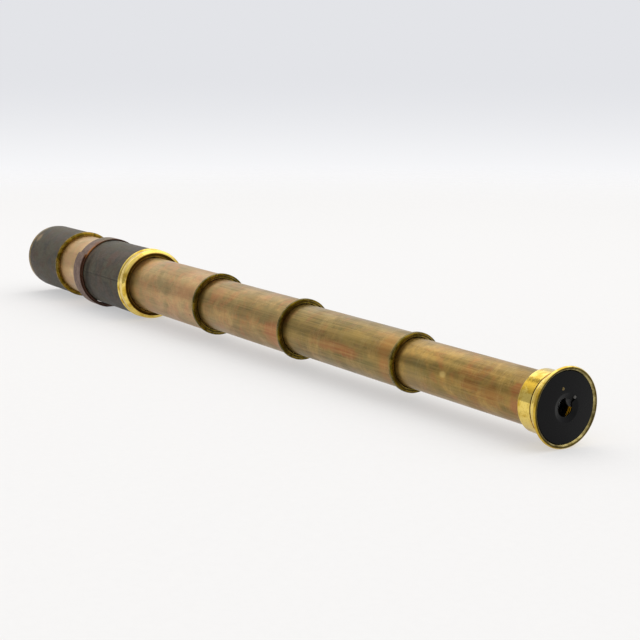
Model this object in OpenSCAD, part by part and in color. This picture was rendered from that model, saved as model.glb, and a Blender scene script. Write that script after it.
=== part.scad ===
// Four-draw hand telescope in brass, with a leather-covered barrel and sunshade.
// Millimetres. +X runs along the optical axis towards the eyepiece and +Z is up.
// The origin is on the optical axis, at the middle of the barrel's leather grip.
// All sub-parts are turned about the axis. Their outlines are lists of [radius, station],
// where a station is the distance from the eyepiece rim towards the objective.

/* [Draw tubes] */
// Outer radii of draw tubes 1 to 4, from the barrel to the eyepiece
draw_r = [22.1, 19.2, 17.3, 15.3]; // [14:0.05:23]
// Bare length of draw tubes 1 to 4 between collars when fully drawn
draw_bare = [111.6, 116.3, 122.8, 110.9]; // [100:0.1:125]
// Wall thickness of the draw tubes
draw_wall = 0.6; // [0.5:0.05:0.8]
// Flange radii of the collars on draws 1 to 3
collar_r = [23.3, 21.0, 18.6]; // [18:0.05:24]
// Flange thickness of the draw collars
collar_t = 3; // [2.5:0.1:3.5]
// Length of a collar's screwed spigot inside its tube
spigot_l = 4; // [3:0.5:6]
// Length of the split spring sleeve behind each collar
sleeve_l = 18; // [14:0.5:20]
// Length of the stop ring on each draw's inner end
stop_l = 5; // [3:0.5:6]
// Radial running clearance between a draw and its sleeve
run_gap = 0.05; // [0.02:0.01:0.09]
// Axial gap left at each end of a draw's travel
end_gap = 0.3; // [0.2:0.05:0.5]

/* [Barrel] */
// Outer radius of the brass barrel tube
barrel_r = 25.85; // [25.8:0.05:26.1]
// Wall thickness of the barrel tube
barrel_wall = 0.8; // [0.6:0.05:1]
// Station of the barrel tube's front end
barrel_front = 660; // [655:0.5:661]
// Length of the leather cover on the barrel
barrel_leather_l = 88.3; // [80:0.1:95]
// Radius over the leather cover of the barrel
barrel_leather_r = 28; // [27:0.1:28.2]
// Largest radius of the barrel collar
barrel_collar_r = 28.8; // [28.3:0.1:29.5]
// Length of the barrel collar's visible part
barrel_collar_l = 10.8; // [10:0.1:12]

/* [Leather strap] */
// Width of the strap along the barrel
strap_w = 15.8; // [12:0.1:18]
// Thickness of each of the strap's two layers
strap_t = 1.35; // [1:0.05:1.5]
// Inner radius of the strap's loop, looser than the barrel cover
strap_loop_r = 28.3; // [28.3:0.05:28.5]
// How far the loose loop hangs below the axis
strap_sag = 0.25; // [0:0.05:0.25]
// How far the telescope's weight presses the bottom of the strap flat
strap_flat = 0.65; // [0:0.05:0.8]
// Angle that the strap's outer layer covers, from its free end round the bottom
strap_lap = 161; // [90:1:200]
// Height of the strap's free end, as an angle above the horizontal
lap_end = 36; // [0:1:60]

/* [Sunshade] */
// Length of the sunshade
shade_l = 73.8; // [70:0.1:76]
// Travel of the sunshade along the barrel
shade_travel = 42.8; // [30:0.1:42.8]
// Radius over the sunshade's leather
shade_leather_r = 28.9; // [28.3:0.1:29.2]
// Outer radius of the sunshade's rear ring
shade_rear_r = 29.5; // [29:0.1:30.5]
// Wall thickness of the sunshade tube
shade_wall = 0.9; // [0.7:0.05:1]
// Radius of the front ring's land that a lens cap slips over
cap_seat_r = 28.4; // [28:0.1:28.6]

/* [Objective] */
// Radius of the two objective lenses
lens_r = 22.6; // [20:0.1:23]
// Radius of curvature of the crown lens faces
crown_curve = 150; // [120:1:260]
// Thickness of the crown lens at its middle
crown_t = 5.2; // [4.8:0.1:6]

/* [Eyepiece] */
// Radius of the eyecup's rounded lip
lip_r = 22; // [21.5:0.1:23]
// Radius of the eyepiece band
band_r = 17.6; // [17.2:0.05:18]
// Length of the eyecup and band together
eyepiece_l = 18.4; // [18:0.1:22]
// Radius of the eye hole in the dish
eye_hole_r = 5; // [4:0.1:5]
// Angle that the shutter turns between open and shut
shutter_swing = 43; // [30:1:43]

/* [Hidden] */

// Smoothness of every turned surface, and of the nearly flat lens faces
round_fn = 128;
lens_fn = 360;
// Gap that keeps screwed and seated pieces apart
fit_gap = 0.04;
// Radial gap between the barrel tube and what slides on it
felt_gap = 0.1;
// Overlap used to cut cleanly through a wall
cut = 1;

// Stations. Draw 0 is the barrel, and draw 4's head is the eyepiece.
function head_back(n) = n == 4 ? eyepiece_l : head_face(n) + (n == 0 ? barrel_collar_l : collar_t);
function head_face(n) = head_back(n + 1) + draw_bare[n];
function tube_outer(n) = n == 0 ? barrel_r : draw_r[n - 1];
function tube_inner(n) = tube_outer(n) - (n == 0 ? barrel_wall : draw_wall);
function sleeve_length(n) = n == 0 ? sleeve_l - 4 : sleeve_l;
function sleeve_start(n) = head_back(n) + spigot_l + fit_gap;
function sleeve_end(n) = sleeve_start(n) + sleeve_length(n);
function tube_end(n) = sleeve_end(n - 1) + end_gap + stop_l;

leather_start = head_back(0) + fit_gap;
leather_end = leather_start + barrel_leather_l;
strap_back = leather_end - strap_w + 0.2;
strap_front = strap_back + strap_w;
shade_back = strap_front + shade_travel + end_gap;
shade_front = shade_back + shade_l;
grip_middle = (leather_start + strap_back) / 2;
shade_tube_in = barrel_r + 0.8;
shade_tube_out = shade_tube_in + shade_wall;

// Points of a round stretch of an outline, from angle a to angle b
function arc(r, s, radius, a, b, steps = 8) =
  [for (i = [0:steps]) let (t = a + (b - a) * i / steps) [r + radius * cos(t), s + radius * sin(t)]];

// Places children on the axis at a station: local Z points to the objective, local X is up
module at_station(station) {
  translate([grip_middle - station, 0, 0]) rotate([0, -90, 0]) children();
}

// A sub-part turned about the optical axis
module turned(outline) {
  at_station(0) rotate_extrude($fn = round_fn) polygon(outline);
}

// A plain turned tube
module tube(inner, outer, from, to) {
  turned([[inner, from], [outer, from], [outer, to], [inner, to]]);
}

// A round lens. Each face is given by its radius of curvature, and 0 is a flat face.
module lens(radius, from, thick, eye_curve, sky_curve) {
  at_station(from) intersection() {
    cylinder(h = thick, r = radius, $fn = round_fn);
    if (eye_curve > 0) translate([0, 0, eye_curve]) sphere(r = eye_curve, $fn = lens_fn);
    if (sky_curve > 0) translate([0, 0, thick - sky_curve]) sphere(r = sky_curve, $fn = lens_fn);
  }
}

// ---- barrel ----

module barrel_tube() {
  color("peru") tube(tube_inner(0), barrel_r, head_back(0) + fit_gap, barrel_front);
}

module barrel_leather() {
  color("dimgray") tube(barrel_r + fit_gap, barrel_leather_r, leather_start, leather_end);
}

// Bead, groove, main bead and dished face, with a screwed spigot inside the tube
module barrel_collar() {
  face = head_face(0);
  back = head_back(0);
  bore = draw_r[0] + 0.5;
  spigot_r = tube_inner(0) - fit_gap;
  bead_r = 0.8;
  main_r = 2.8;
  groove_r = barrel_collar_r - 1.2;
  color("gold") turned(concat(
    [[bore, face + 1.6], [bore + 0.6, face + 1]],
    [[barrel_collar_r - 3.9, face + 0.5]],
    arc(barrel_collar_r - 0.3 - main_r, face + main_r, main_r, -84, 10),
    [[groove_r + 0.5, back - 2.6], [groove_r, back - 2.2], [groove_r, back - 1.8]],
    arc(barrel_collar_r - bead_r, back - bead_r, bead_r, -60, 60),
    [[barrel_collar_r - 1.4, back], [spigot_r, back], [spigot_r, back + spigot_l], [bore, back + spigot_l]]
  ));
}

// Sprung guide sleeve: its slots let the fingers press lightly on the draw
module guide_sleeve(n) {
  slots = 6;
  slot_w = 1;
  web = 3;
  color("darkgoldenrod") difference() {
    tube(draw_r[n] + run_gap, tube_inner(n) - fit_gap, sleeve_start(n), sleeve_end(n));
    at_station(sleeve_start(n) + web) for (i = [0:slots - 1])
      rotate([0, 0, i * 360 / slots]) translate([draw_r[n] - cut, -slot_w / 2, 0])
        cube([tube_inner(n) - draw_r[n] + 2 * cut, slot_w, sleeve_length(n)]);
  }
}

// Blackened disc between the shut draws and the objective
module barrel_glare_stop() {
  color("black") tube(18.5, tube_inner(0) - fit_gap, 639, 640.2);
}

// ---- objective ----

cell_back = 645;
cell_lip_t = 1.5;
cell_front = barrel_front + cell_lip_t;
flint_t = 4;
flint_edge_t = flint_t + 1.6;
flint_start = cell_back + 2;
spacer_start = flint_start + flint_edge_t + fit_gap;
spacer_t = 0.5;
crown_start = spacer_start + spacer_t + fit_gap;

module objective_cell() {
  bore = lens_r + fit_gap;
  color("goldenrod") turned([
    [bore - 1.8, cell_back], [tube_inner(0) - fit_gap, cell_back], [tube_inner(0) - fit_gap, barrel_front],
    [barrel_r, barrel_front + fit_gap], [barrel_r - 0.4, cell_front], [bore, cell_front],
    [bore, flint_start - fit_gap], [bore - 1.8, flint_start - fit_gap]
  ]);
}

// Concave towards the crown lens, flat towards the eye
module flint_lens() {
  color("lightcyan", 0.5) difference() {
    at_station(flint_start) cylinder(h = flint_edge_t, r = lens_r, $fn = round_fn);
    at_station(flint_start + flint_t + crown_curve) sphere(r = crown_curve, $fn = lens_fn);
  }
}

module lens_spacer() {
  color("silver") tube(lens_r - 0.9, lens_r, spacer_start, spacer_start + spacer_t);
}

module crown_lens() {
  color("lightcyan", 0.5) lens(lens_r, crown_start, crown_t, crown_curve, crown_curve);
}

module lens_retaining_ring() {
  start = crown_start + crown_t - 1.5;
  color("goldenrod") turned([
    [lens_r - 1.2, start], [lens_r, start], [lens_r, cell_front - 0.4], [lens_r - 0.5, cell_front - 0.4]
  ]);
}

// ---- strap ----

// Leather loop round the barrel. Its free end lies over it as an outer layer, pressed flat below.
module strap() {
  joint_r = strap_loop_r + strap_t;
  outer = joint_r + strap_t;
  inset = 0.3;
  lap_bite = 0.4;
  color("saddlebrown") translate([0, 0, -strap_sag]) {
    tube(strap_loop_r, joint_r, strap_back, strap_front);
    difference() {
      at_station(strap_back + inset) rotate([0, 0, lap_end - strap_lap - 90])
        rotate_extrude(angle = strap_lap, $fn = round_fn)
          translate([joint_r - lap_bite, 0]) square([strap_t + lap_bite, strap_w - 2 * inset]);
      at_station(strap_back) translate([strap_flat - 3 * outer, -outer, -cut])
        cube([2 * outer, 2 * outer, strap_w + 2 * cut]);
    }
  }
}

// ---- sunshade ----

module sunshade_tube() {
  color("peru") tube(shade_tube_in, shade_tube_out, shade_back + 3.5, shade_front - 1.5);
}

module sunshade_leather() {
  color("dimgray") tube(shade_tube_out + fit_gap, shade_leather_r, shade_back + 4.6, shade_front - 5.1);
}

module sunshade_rear_ring() {
  bead = 2.2;
  color("olive") turned(concat(
    [[barrel_r + felt_gap, shade_back + 0.3], [barrel_r + 0.6, shade_back]],
    arc(shade_rear_r - bead, shade_back + bead, bead, -80, 70),
    [[shade_tube_out + fit_gap, shade_back + 4.5], [shade_tube_out + fit_gap, shade_back + 3.4]],
    [[barrel_r + felt_gap, shade_back + 3.4]]
  ));
}

// Plain land that the lens cap fits over, with a rolled rim
module sunshade_front_ring() {
  color("olive") turned([
    [shade_tube_out + fit_gap, shade_front - 5], [cap_seat_r, shade_front - 5], [cap_seat_r, shade_front - 0.5],
    [cap_seat_r - 0.5, shade_front], [shade_tube_in + 0.4, shade_front], [shade_tube_in, shade_front - 0.4],
    [shade_tube_in, shade_front - 1.4], [shade_tube_out + fit_gap, shade_front - 1.4]
  ]);
}

module sunshade_felt() {
  color("darkgreen") tube(barrel_r + felt_gap, shade_tube_in - fit_gap, shade_back + 6, shade_back + 26);
}

// ---- draws ----

module draw_tube(n) {
  from = n == 4 ? band_seat + fit_gap : head_back(n) + fit_gap;
  color("peru") tube(tube_inner(n), tube_outer(n), from, tube_end(n));
}

// Stepped flange: outer bead, fine groove, inner step, then the screwed spigot
module draw_collar(n) {
  face = head_face(n);
  back = head_back(n);
  rim = collar_r[n - 1];
  bore = draw_r[n] + 0.35;
  step = (rim + bore) / 2;
  round_r = 0.9;
  color("olive") turned(concat(
    [[bore, face + 1], [bore + 0.3, face + 0.7], [step - 0.2, face + 0.7], [step, face + 0.15]],
    arc(rim - round_r, face + round_r, round_r, -90, 0),
    [[rim, face + 1.5], [rim - 0.15, face + 1.65], [rim, face + 1.8]],
    [[rim, back - 0.3], [rim - 0.3, back], [tube_inner(n) - fit_gap, back]],
    [[tube_inner(n) - fit_gap, back + spigot_l], [bore, back + spigot_l]]
  ));
}

// Ring round the inner end of draw n, which meets the sleeve when the draw is out
module stop_ring(n) {
  color("darkgoldenrod")
    tube(draw_r[n - 1] + fit_gap, tube_inner(n - 1) - run_gap, tube_end(n) - stop_l, tube_end(n));
}

module draw_glare_stop() {
  color("black") tube(11, tube_inner(3) - fit_gap, tube_end(3) - 4, tube_end(3) - 3);
}

// ---- erector ----

erector_r = 12.2;
erector_wall = 0.8;
erector_back = 104;
erector_front = 150;
erector_head_l = 4;
small_lens_t = 3;
ring_t = 1.5;

module erector_tube() {
  head_r = tube_inner(4) - fit_gap;
  color("peru") turned([
    [erector_r, erector_back], [erector_r + erector_wall, erector_back],
    [erector_r + erector_wall, erector_front], [head_r, erector_front],
    [head_r, erector_front + erector_head_l], [erector_r, erector_front + erector_head_l]
  ]);
}

module rear_erector_lens() {
  color("lightcyan", 0.5) lens(erector_r - fit_gap, erector_back + 2, small_lens_t, 0, 48);
}

module front_erector_lens() {
  color("lightcyan", 0.5) lens(erector_r - fit_gap, erector_front - 2, small_lens_t, 48, 0);
}

// One screwed ring behind each erector lens
module erector_lens_rings() {
  inner = erector_r - 1.5;
  outer = erector_r - fit_gap;
  color("darkgoldenrod") {
    tube(inner, outer, erector_back + 0.3, erector_back + 0.3 + ring_t);
    tube(inner, outer, erector_front + 1.2, erector_front + 1.2 + ring_t);
  }
}

module erector_stop() {
  color("black") tube(2, erector_r - fit_gap, 127, 128);
}

// ---- eyepiece ----

band_back = eyepiece_l;
band_front = 8.8;
web_front = 13;
band_seat = 14.2;
ocular_r = 9.7;
ocular_wall = 0.8;
ocular_end = 62;
cup_thread_r = 16.3;
shutter_room_r = 16.7;

// Shutter pivot and knob, seen from the eye: [across to the right, up]
pivot_at = [-2.62, 10.31];
knob_at = [5.71, 5];
knob_arm = norm(knob_at - pivot_at);
open_angle = atan2(knob_at[1] - pivot_at[1], knob_at[0] - pivot_at[0]);
shutter_front = 2.15;
shutter_t = 0.7;
pin_r = 0.9;
shutter_back = shutter_front + shutter_t;

// Band that screws on draw 4 and carries the eyecup in front and the ocular tube inside
module eyepiece_band() {
  color("gold") turned([
    [cup_thread_r + fit_gap, band_front], [band_r - 0.2, band_front], [band_r, band_front + 0.2],
    [band_r, band_back - 0.8], [band_r - 0.3, band_back - 0.2], [band_r - 0.6, band_back],
    [draw_r[3] + fit_gap, band_back], [draw_r[3] + fit_gap, band_seat], [ocular_r + ocular_wall + fit_gap, band_seat],
    [ocular_r + ocular_wall + fit_gap, web_front], [cup_thread_r + fit_gap, web_front]
  ]);
}

// Flared brass cup with a rounded lip, a seat for the dish and room for the shutter
module eyecup() {
  lip = 1.1;
  flare = 5;
  neck_r = band_r + 0.2;
  seat_r = lip_r - 3.3;
  color("gold") turned(concat(
    [[lip_r - 2.6, 1.3], [lip_r - 1.9, 0.35]],
    arc(lip_r - lip, lip, lip, -110, 60),
    arc(neck_r + flare, 7.4, flare, 243, 180, 10),
    [[band_r, 8.25], [cup_thread_r + 0.6, 8.25], [cup_thread_r + 0.6, 8.75], [cup_thread_r, 8.75]],
    [[cup_thread_r, 12.8], [15.4, 12.8], [15.4, shutter_back + 0.2], [shutter_room_r, shutter_back + 0.2]],
    [[shutter_room_r, 2.4], [seat_r, dish_seat], [lip_r - 2.6, dish_seat]]
  ));
}

dish_rim_r = lip_r - 2.6 - fit_gap;
dish_seat = 2;
dish_curve = 220;
function dish_depth(r) = 0.05 + dish_curve - sqrt(dish_curve * dish_curve - r * r);

// Outline of a slot with round ends, along a circle of the given radius from angle 0 to the swing
function curved_slot(radius, half_w, swing) = concat(
  arc(0, 0, radius + half_w, 0, swing, 16),
  arc(radius * cos(swing), radius * sin(swing), half_w, swing + 20, swing + 160, 7),
  arc(0, 0, radius - half_w, swing, 0, 16),
  arc(radius, 0, half_w, 200, 340, 7)
);

// Black disc, slightly domed, with a funnelled eye hole and the curved slot that the knob travels in
module eye_dish() {
  funnel_r = 8.2;
  funnel_end = 1.3;
  back = dish_seat - fit_gap;
  slot_r = 1.15;
  face = [for (i = [0:12]) let (r = dish_rim_r + (funnel_r - dish_rim_r) * i / 12) [r, dish_depth(r)]];
  difference() {
    color("black") turned(concat(face, [[eye_hole_r, funnel_end], [eye_hole_r, back], [dish_rim_r, back]]));
    color("black") at_station(-cut) translate([pivot_at[1], pivot_at[0], 0]) rotate([0, 0, 90 - open_angle])
      linear_extrude(10) polygon(curved_slot(knob_arm, slot_r, shutter_swing));
  }
}

// Pivot pin riveted into the back of the dish, with a head that holds the shutter
module shutter_pin() {
  foot = 1.4;
  head_r = 1.6;
  head_start = shutter_back + 0.05;
  color("darkgoldenrod") at_station(0) translate([pivot_at[1], pivot_at[0], 0])
    rotate_extrude($fn = 48) polygon([
      [0, foot], [pin_r, foot], [pin_r, head_start], [head_r, head_start],
      [head_r, head_start + 0.4], [0, head_start + 0.4]
    ]);
}

// Disc on an arm. It lies behind the dish and swings across the eye hole.
module eye_shutter() {
  disc_r = eye_hole_r + 0.3;
  reach = norm(pivot_at);
  color("dimgray") at_station(shutter_front) translate([pivot_at[1], pivot_at[0], 0])
    rotate([0, 0, 90 - open_angle]) difference() {
      union() {
        translate([reach, 0, 0]) cylinder(h = shutter_t, r = disc_r, $fn = 64);
        translate([0, -1.9, 0]) cube([reach, 3.8, shutter_t]);
        cylinder(h = shutter_t, r = 1.9, $fn = 48);
      }
      translate([0, 0, -cut]) cylinder(h = shutter_t + 2 * cut, r = pin_r + run_gap, $fn = 32);
    }
}

// Small turned knob riveted to the shutter's arm
module shutter_knob() {
  stem_r = 0.8;
  top = 0;
  color("black") at_station(0) translate([knob_at[1], knob_at[0], 0])
    rotate_extrude($fn = 48) polygon(concat(
      [[0, top]], arc(0.35, top + 0.65, 0.65, -90, 0), [[stem_r, top + 1.4], [stem_r, shutter_front], [0, shutter_front]]
    ));
}

// Screwed tube that carries the eye lens and the field lens
module eyepiece_tube() {
  outer = ocular_r + ocular_wall;
  color("peru") turned([
    [ocular_r, 12], [13, 12], [13, web_front - fit_gap], [outer, web_front - fit_gap],
    [outer, ocular_end], [ocular_r, ocular_end]
  ]);
}

module eye_lens() {
  color("lightcyan", 0.5) lens(ocular_r - fit_gap, 13.6, small_lens_t, 0, 22);
}

module eye_lens_ring() {
  color("black") tube(ocular_r - 1.4, ocular_r - fit_gap, 12.1, 13.5);
}

module field_stop() {
  color("black") tube(6.5, ocular_r - fit_gap, 34, 35);
}

module field_lens() {
  color("lightcyan", 0.5) lens(ocular_r - fit_gap, 56, small_lens_t, 0, 30);
}

module field_lens_ring() {
  color("darkgoldenrod") tube(ocular_r - 1.2, ocular_r - fit_gap, 59.1, 59.1 + ring_t);
}

barrel_tube();
barrel_leather();
barrel_collar();
guide_sleeve(0);  // barrel_sleeve
barrel_glare_stop();
objective_cell();
crown_lens();
lens_spacer();
flint_lens();
lens_retaining_ring();
strap();
sunshade_tube();
sunshade_leather();
sunshade_rear_ring();
sunshade_front_ring();
sunshade_felt();
draw_tube(1);  // draw_tube_1
draw_collar(1);  // draw_collar_1
guide_sleeve(1);  // draw_sleeve_1
stop_ring(1);  // stop_ring_1
draw_tube(2);  // draw_tube_2
draw_collar(2);  // draw_collar_2
guide_sleeve(2);  // draw_sleeve_2
stop_ring(2);  // stop_ring_2
draw_tube(3);  // draw_tube_3
draw_collar(3);  // draw_collar_3
guide_sleeve(3);  // draw_sleeve_3
stop_ring(3);  // stop_ring_3
draw_glare_stop();
draw_tube(4);  // draw_tube_4
stop_ring(4);  // stop_ring_4
erector_tube();
rear_erector_lens();
front_erector_lens();
erector_lens_rings();
erector_stop();
eyepiece_tube();
eye_lens();
eye_lens_ring();
field_stop();
field_lens();
field_lens_ring();
eyepiece_band();
eyecup();
eye_dish();
shutter_pin();
eye_shutter();
shutter_knob();
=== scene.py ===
"""Looks for a four-draw brass hand telescope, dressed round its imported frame.

Everything is in metres, with +X along the optical axis towards the eyepiece and +Z up.
An angle round the axis starts at the -Y side, where it is 0, and rises towards +Z.
"""

import logging
import math
from collections.abc import Callable, Iterator, Sequence
from dataclasses import dataclass
from enum import Enum
from typing import ClassVar

import bmesh
import bpy
import numpy as np
from mathutils import Matrix, Vector


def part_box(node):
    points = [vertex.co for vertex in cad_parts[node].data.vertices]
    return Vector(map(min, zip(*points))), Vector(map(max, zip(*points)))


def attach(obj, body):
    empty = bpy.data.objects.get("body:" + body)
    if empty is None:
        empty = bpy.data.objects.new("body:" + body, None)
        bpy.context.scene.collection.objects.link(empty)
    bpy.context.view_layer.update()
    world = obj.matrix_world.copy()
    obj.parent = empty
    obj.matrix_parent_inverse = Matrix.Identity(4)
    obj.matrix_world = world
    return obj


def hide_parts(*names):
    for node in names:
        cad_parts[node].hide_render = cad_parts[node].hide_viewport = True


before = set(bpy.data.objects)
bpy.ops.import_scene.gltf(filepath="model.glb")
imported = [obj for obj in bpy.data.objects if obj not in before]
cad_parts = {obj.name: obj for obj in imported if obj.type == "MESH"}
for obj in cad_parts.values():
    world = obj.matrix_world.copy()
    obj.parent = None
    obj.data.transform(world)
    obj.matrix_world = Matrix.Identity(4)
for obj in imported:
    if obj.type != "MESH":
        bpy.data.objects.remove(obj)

LOG = logging.getLogger("telescope")
MM = 0.001
EDGE = "edge"

Colour = tuple[float, float, float, float]
Point = tuple[float, float]
Socket = bpy.types.NodeSocket
Feed = Socket | float | tuple[float, ...] | Vector
Relief = Callable[[np.ndarray, np.ndarray], np.ndarray]


class Body(str, Enum):
    """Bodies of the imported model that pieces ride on."""

    BARREL = "barrel"
    SUNSHADE = "sunshade"
    DRAW_1 = "draw_1"
    DRAW_2 = "draw_2"
    DRAW_3 = "draw_3"
    DRAW_4 = "draw_4"
    SHUTTER = "shutter"


class Slot(str, Enum):
    """Material slots of the record."""

    AGED_BRASS = "aged_brass"
    BARREL_BRASS = "barrel_brass"
    OLIVE_BRASS = "olive_brass"
    POLISHED_BRASS = "polished_brass"
    MACHINED_BRASS = "machined_brass"
    BLACKENED_BRASS = "blackened_brass"
    BLACK_LACQUER = "black_lacquer"
    DARK_LEATHER = "dark_leather"
    STRAP_LEATHER = "strap_leather"
    OPTICAL_GLASS = "optical_glass"
    FELT = "felt"


def srgb(red: float, green: float, blue: float) -> Colour:
    """Turn an 8-bit display colour into a linear one.

    Args:
        red: Red, from 0 to 255.
        green: Green, from 0 to 255.
        blue: Blue, from 0 to 255.

    Returns:
        The linear colour with full alpha.
    """
    parts = [c / 255 for c in (red, green, blue)]
    linear = [c / 12.92 if c <= 0.04045 else ((c + 0.055) / 1.055) ** 2.4 for c in parts]
    return (*linear, 1.0)


def around(x: float, degrees: float, radius: float) -> Vector:
    """Return the point at x, at an angle round the axis and a distance from it."""
    turn = math.radians(degrees)
    return Vector((x, -radius * math.cos(turn), radius * math.sin(turn)))


# ---------------------------------------------------------------- shader nodes


class Graph:
    """A node tree with short calls that make nodes and join them."""

    def __init__(self, tree: bpy.types.NodeTree) -> None:
        """Empty the tree and start on it."""
        self.tree = tree
        tree.nodes.clear()

    def feed(self, socket: Socket, value: Feed) -> None:
        """Link a socket to another one, or set its value."""
        if isinstance(value, bpy.types.NodeSocket):
            self.tree.links.new(value, socket)
        else:
            socket.default_value = value

    def add(self, kind: str, feeds: dict[str | int, Feed] | None = None, **settings) -> bpy.types.Node:
        """Add a node.

        Args:
            kind: Blender's name of the node type.
            feeds: Values or links for its inputs, by name or number.
            **settings: Properties of the node itself.

        Returns:
            The new node.
        """
        node = self.tree.nodes.new(kind)
        for name, value in settings.items():
            setattr(node, name, value)
        for key, value in (feeds or {}).items():
            self.feed(node.inputs[key], value)
        return node

    def calc(self, operation: str, first: Feed, second: Feed = 0.0, clamp: bool = False) -> Socket:
        """Combine two numbers with a Math node."""
        feeds = {0: first, 1: second}
        return self.add("ShaderNodeMath", feeds, operation=operation, use_clamp=clamp).outputs[0]

    def vector(self, operation: str, first: Feed, second: Feed = (0.0, 0.0, 0.0)) -> bpy.types.Node:
        """Combine two vectors with a Vector Math node."""
        return self.add("ShaderNodeVectorMath", {0: first, 1: second}, operation=operation)

    def step(self, value: Feed, low: Feed, high: Feed) -> Socket:
        """Rise smoothly from 0 at low to 1 at high."""
        feeds = {"Value": value, "From Min": low, "From Max": high}
        return self.add("ShaderNodeMapRange", feeds, interpolation_type="SMOOTHSTEP").outputs[0]

    def span(self, value: Feed, low: float, high: float) -> Socket:
        """Spread a mask from 0 and 1 over low to high."""
        return self.add("ShaderNodeMapRange", {"Value": value, "To Min": low, "To Max": high}).outputs[0]

    def blend(self, share: Feed, under: Feed, over: Feed) -> Socket:
        """Lay one colour over another by a share from 0 to 1."""
        return self.add("ShaderNodeMix", {0: share, 6: under, 7: over}, data_type="RGBA").outputs[2]

    def tint(self, mask: Feed, strength: float, under: Feed, over: Feed) -> Socket:
        """Lay one colour over another by a mask of a given strength."""
        return self.blend(self.calc("MULTIPLY", mask, strength), under, over)

    def less(self, value: Feed) -> Socket:
        """Turn a mask inside out."""
        return self.calc("SUBTRACT", 1.0, value)

    def noise(self, vector: Feed, size: Feed, detail: float = 3.0, rough: float = 0.5,
              warp: float = 0.0) -> Socket:
        """Sample fractal noise.

        Args:
            vector: Where to sample, in millimetres.
            size: Size of the largest features, in millimetres.
            detail: Number of finer octaves.
            rough: How strong the finer octaves are.
            warp: How much the noise is distorted.

        Returns:
            A value round 0.5.
        """
        placed = self.vector("DIVIDE", vector, self.triple(size)).outputs[0]
        feeds = {"Vector": placed, "Scale": 1.0, "Detail": detail, "Roughness": rough, "Distortion": warp}
        return self.add("ShaderNodeTexNoise", feeds).outputs["Fac"]

    def triple(self, size: Feed) -> Feed:
        """Make a vector of one size for all three directions, unless it is one already."""
        if isinstance(size, (int, float)):
            return (size, size, size)
        if isinstance(size, bpy.types.NodeSocket) and size.type == "VALUE":
            return self.add("ShaderNodeCombineXYZ", {0: size, 1: size, 2: size}).outputs[0]
        return size

    def bump(self, height: Feed, depth: float) -> Socket:
        """Turn a height from 0 to 1 into a normal.

        Args:
            height: The height mask.
            depth: The height of 1, in metres.

        Returns:
            The bumped normal.
        """
        return self.add("ShaderNodeBump", {"Height": height, "Distance": depth}).outputs["Normal"]

    def surface(self, shift: float = 0.0) -> Socket:
        """Return the surface position in millimetres, moved so that pieces don't repeat each other."""
        place = self.add("ShaderNodeTexCoord").outputs["Object"]
        scaled = self.vector("SCALE", place)
        scaled.inputs["Scale"].default_value = 1 / MM
        return self.vector("ADD", scaled.outputs[0], (0.0, shift, shift)).outputs[0]

    def effect(self, kind: "type[Effect]", **values: Feed) -> dict[str, Socket]:
        """Place an effect's group, with its inputs given by name.

        Args:
            kind: The effect.
            **values: Its inputs, with underscores for spaces.

        Returns:
            Its outputs by name.
        """
        node = self.add("ShaderNodeGroup", node_tree=kind.group())
        for name, value in values.items():
            self.feed(node.inputs[name], value)
        return {socket.name: socket for socket in node.outputs}


VECTOR = "NodeSocketVector"
NUMBER = "NodeSocketFloat"


class Effect:
    """A shader node group, built once and placed in each material with its own values."""

    takes: ClassVar[dict[str, str]]
    gives: ClassVar[dict[str, str]] = {"Mask": NUMBER}

    @classmethod
    def group(cls) -> bpy.types.NodeTree:
        """Return the node group, and build it the first time."""
        known = bpy.data.node_groups.get(cls.__name__)
        if known is not None:
            return known
        made = bpy.data.node_groups.new(cls.__name__, "ShaderNodeTree")
        for name, kind in cls.takes.items():
            made.interface.new_socket(name, in_out="INPUT", socket_type=kind)
        for name, kind in cls.gives.items():
            made.interface.new_socket(name, in_out="OUTPUT", socket_type=kind)
        graph = Graph(made)
        given = graph.add("NodeGroupInput").outputs
        graph.add("NodeGroupOutput", dict(cls.wire(graph, given)))
        return made

    @classmethod
    def wire(cls, graph: Graph, given: bpy.types.NodeOutputs) -> dict[str, Socket]:
        """Wire the inside of the group.

        Args:
            graph: The group's tree.
            given: The group's inputs by name.

        Returns:
            The group's outputs by name.
        """
        raise NotImplementedError


class Streaks(Effect):
    """Streaks drawn out along the tube, from handling and from sliding in and out."""

    takes = {"Vector": VECTOR, "Length": NUMBER, "Width": NUMBER}

    @classmethod
    def wire(cls, graph: Graph, given: bpy.types.NodeOutputs) -> dict[str, Socket]:
        """Stretch noise along X."""
        size = graph.add("ShaderNodeCombineXYZ", {0: given["Length"], 1: given["Width"], 2: given["Width"]})
        drawn = graph.noise(given["Vector"], size.outputs[0], 4.0, 0.6)
        return {"Mask": graph.step(drawn, 0.34, 0.66)}


class Blotches(Effect):
    """Cloudy patches with soft, uneven edges. Cover is the share of the surface that they take."""

    takes = {"Vector": VECTOR, "Size": NUMBER, "Cover": NUMBER}

    @classmethod
    def wire(cls, graph: Graph, given: bpy.types.NodeOutputs) -> dict[str, Socket]:
        """Cut warped noise at a level set by the cover."""
        cloud = graph.noise(given["Vector"], given["Size"], 5.0, 0.58, 0.7)
        level = graph.calc("SUBTRACT", 0.66, graph.calc("MULTIPLY", given["Cover"], 0.32))
        low = graph.calc("SUBTRACT", level, 0.09)
        return {"Mask": graph.step(cloud, low, graph.calc("ADD", level, 0.09))}


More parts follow.
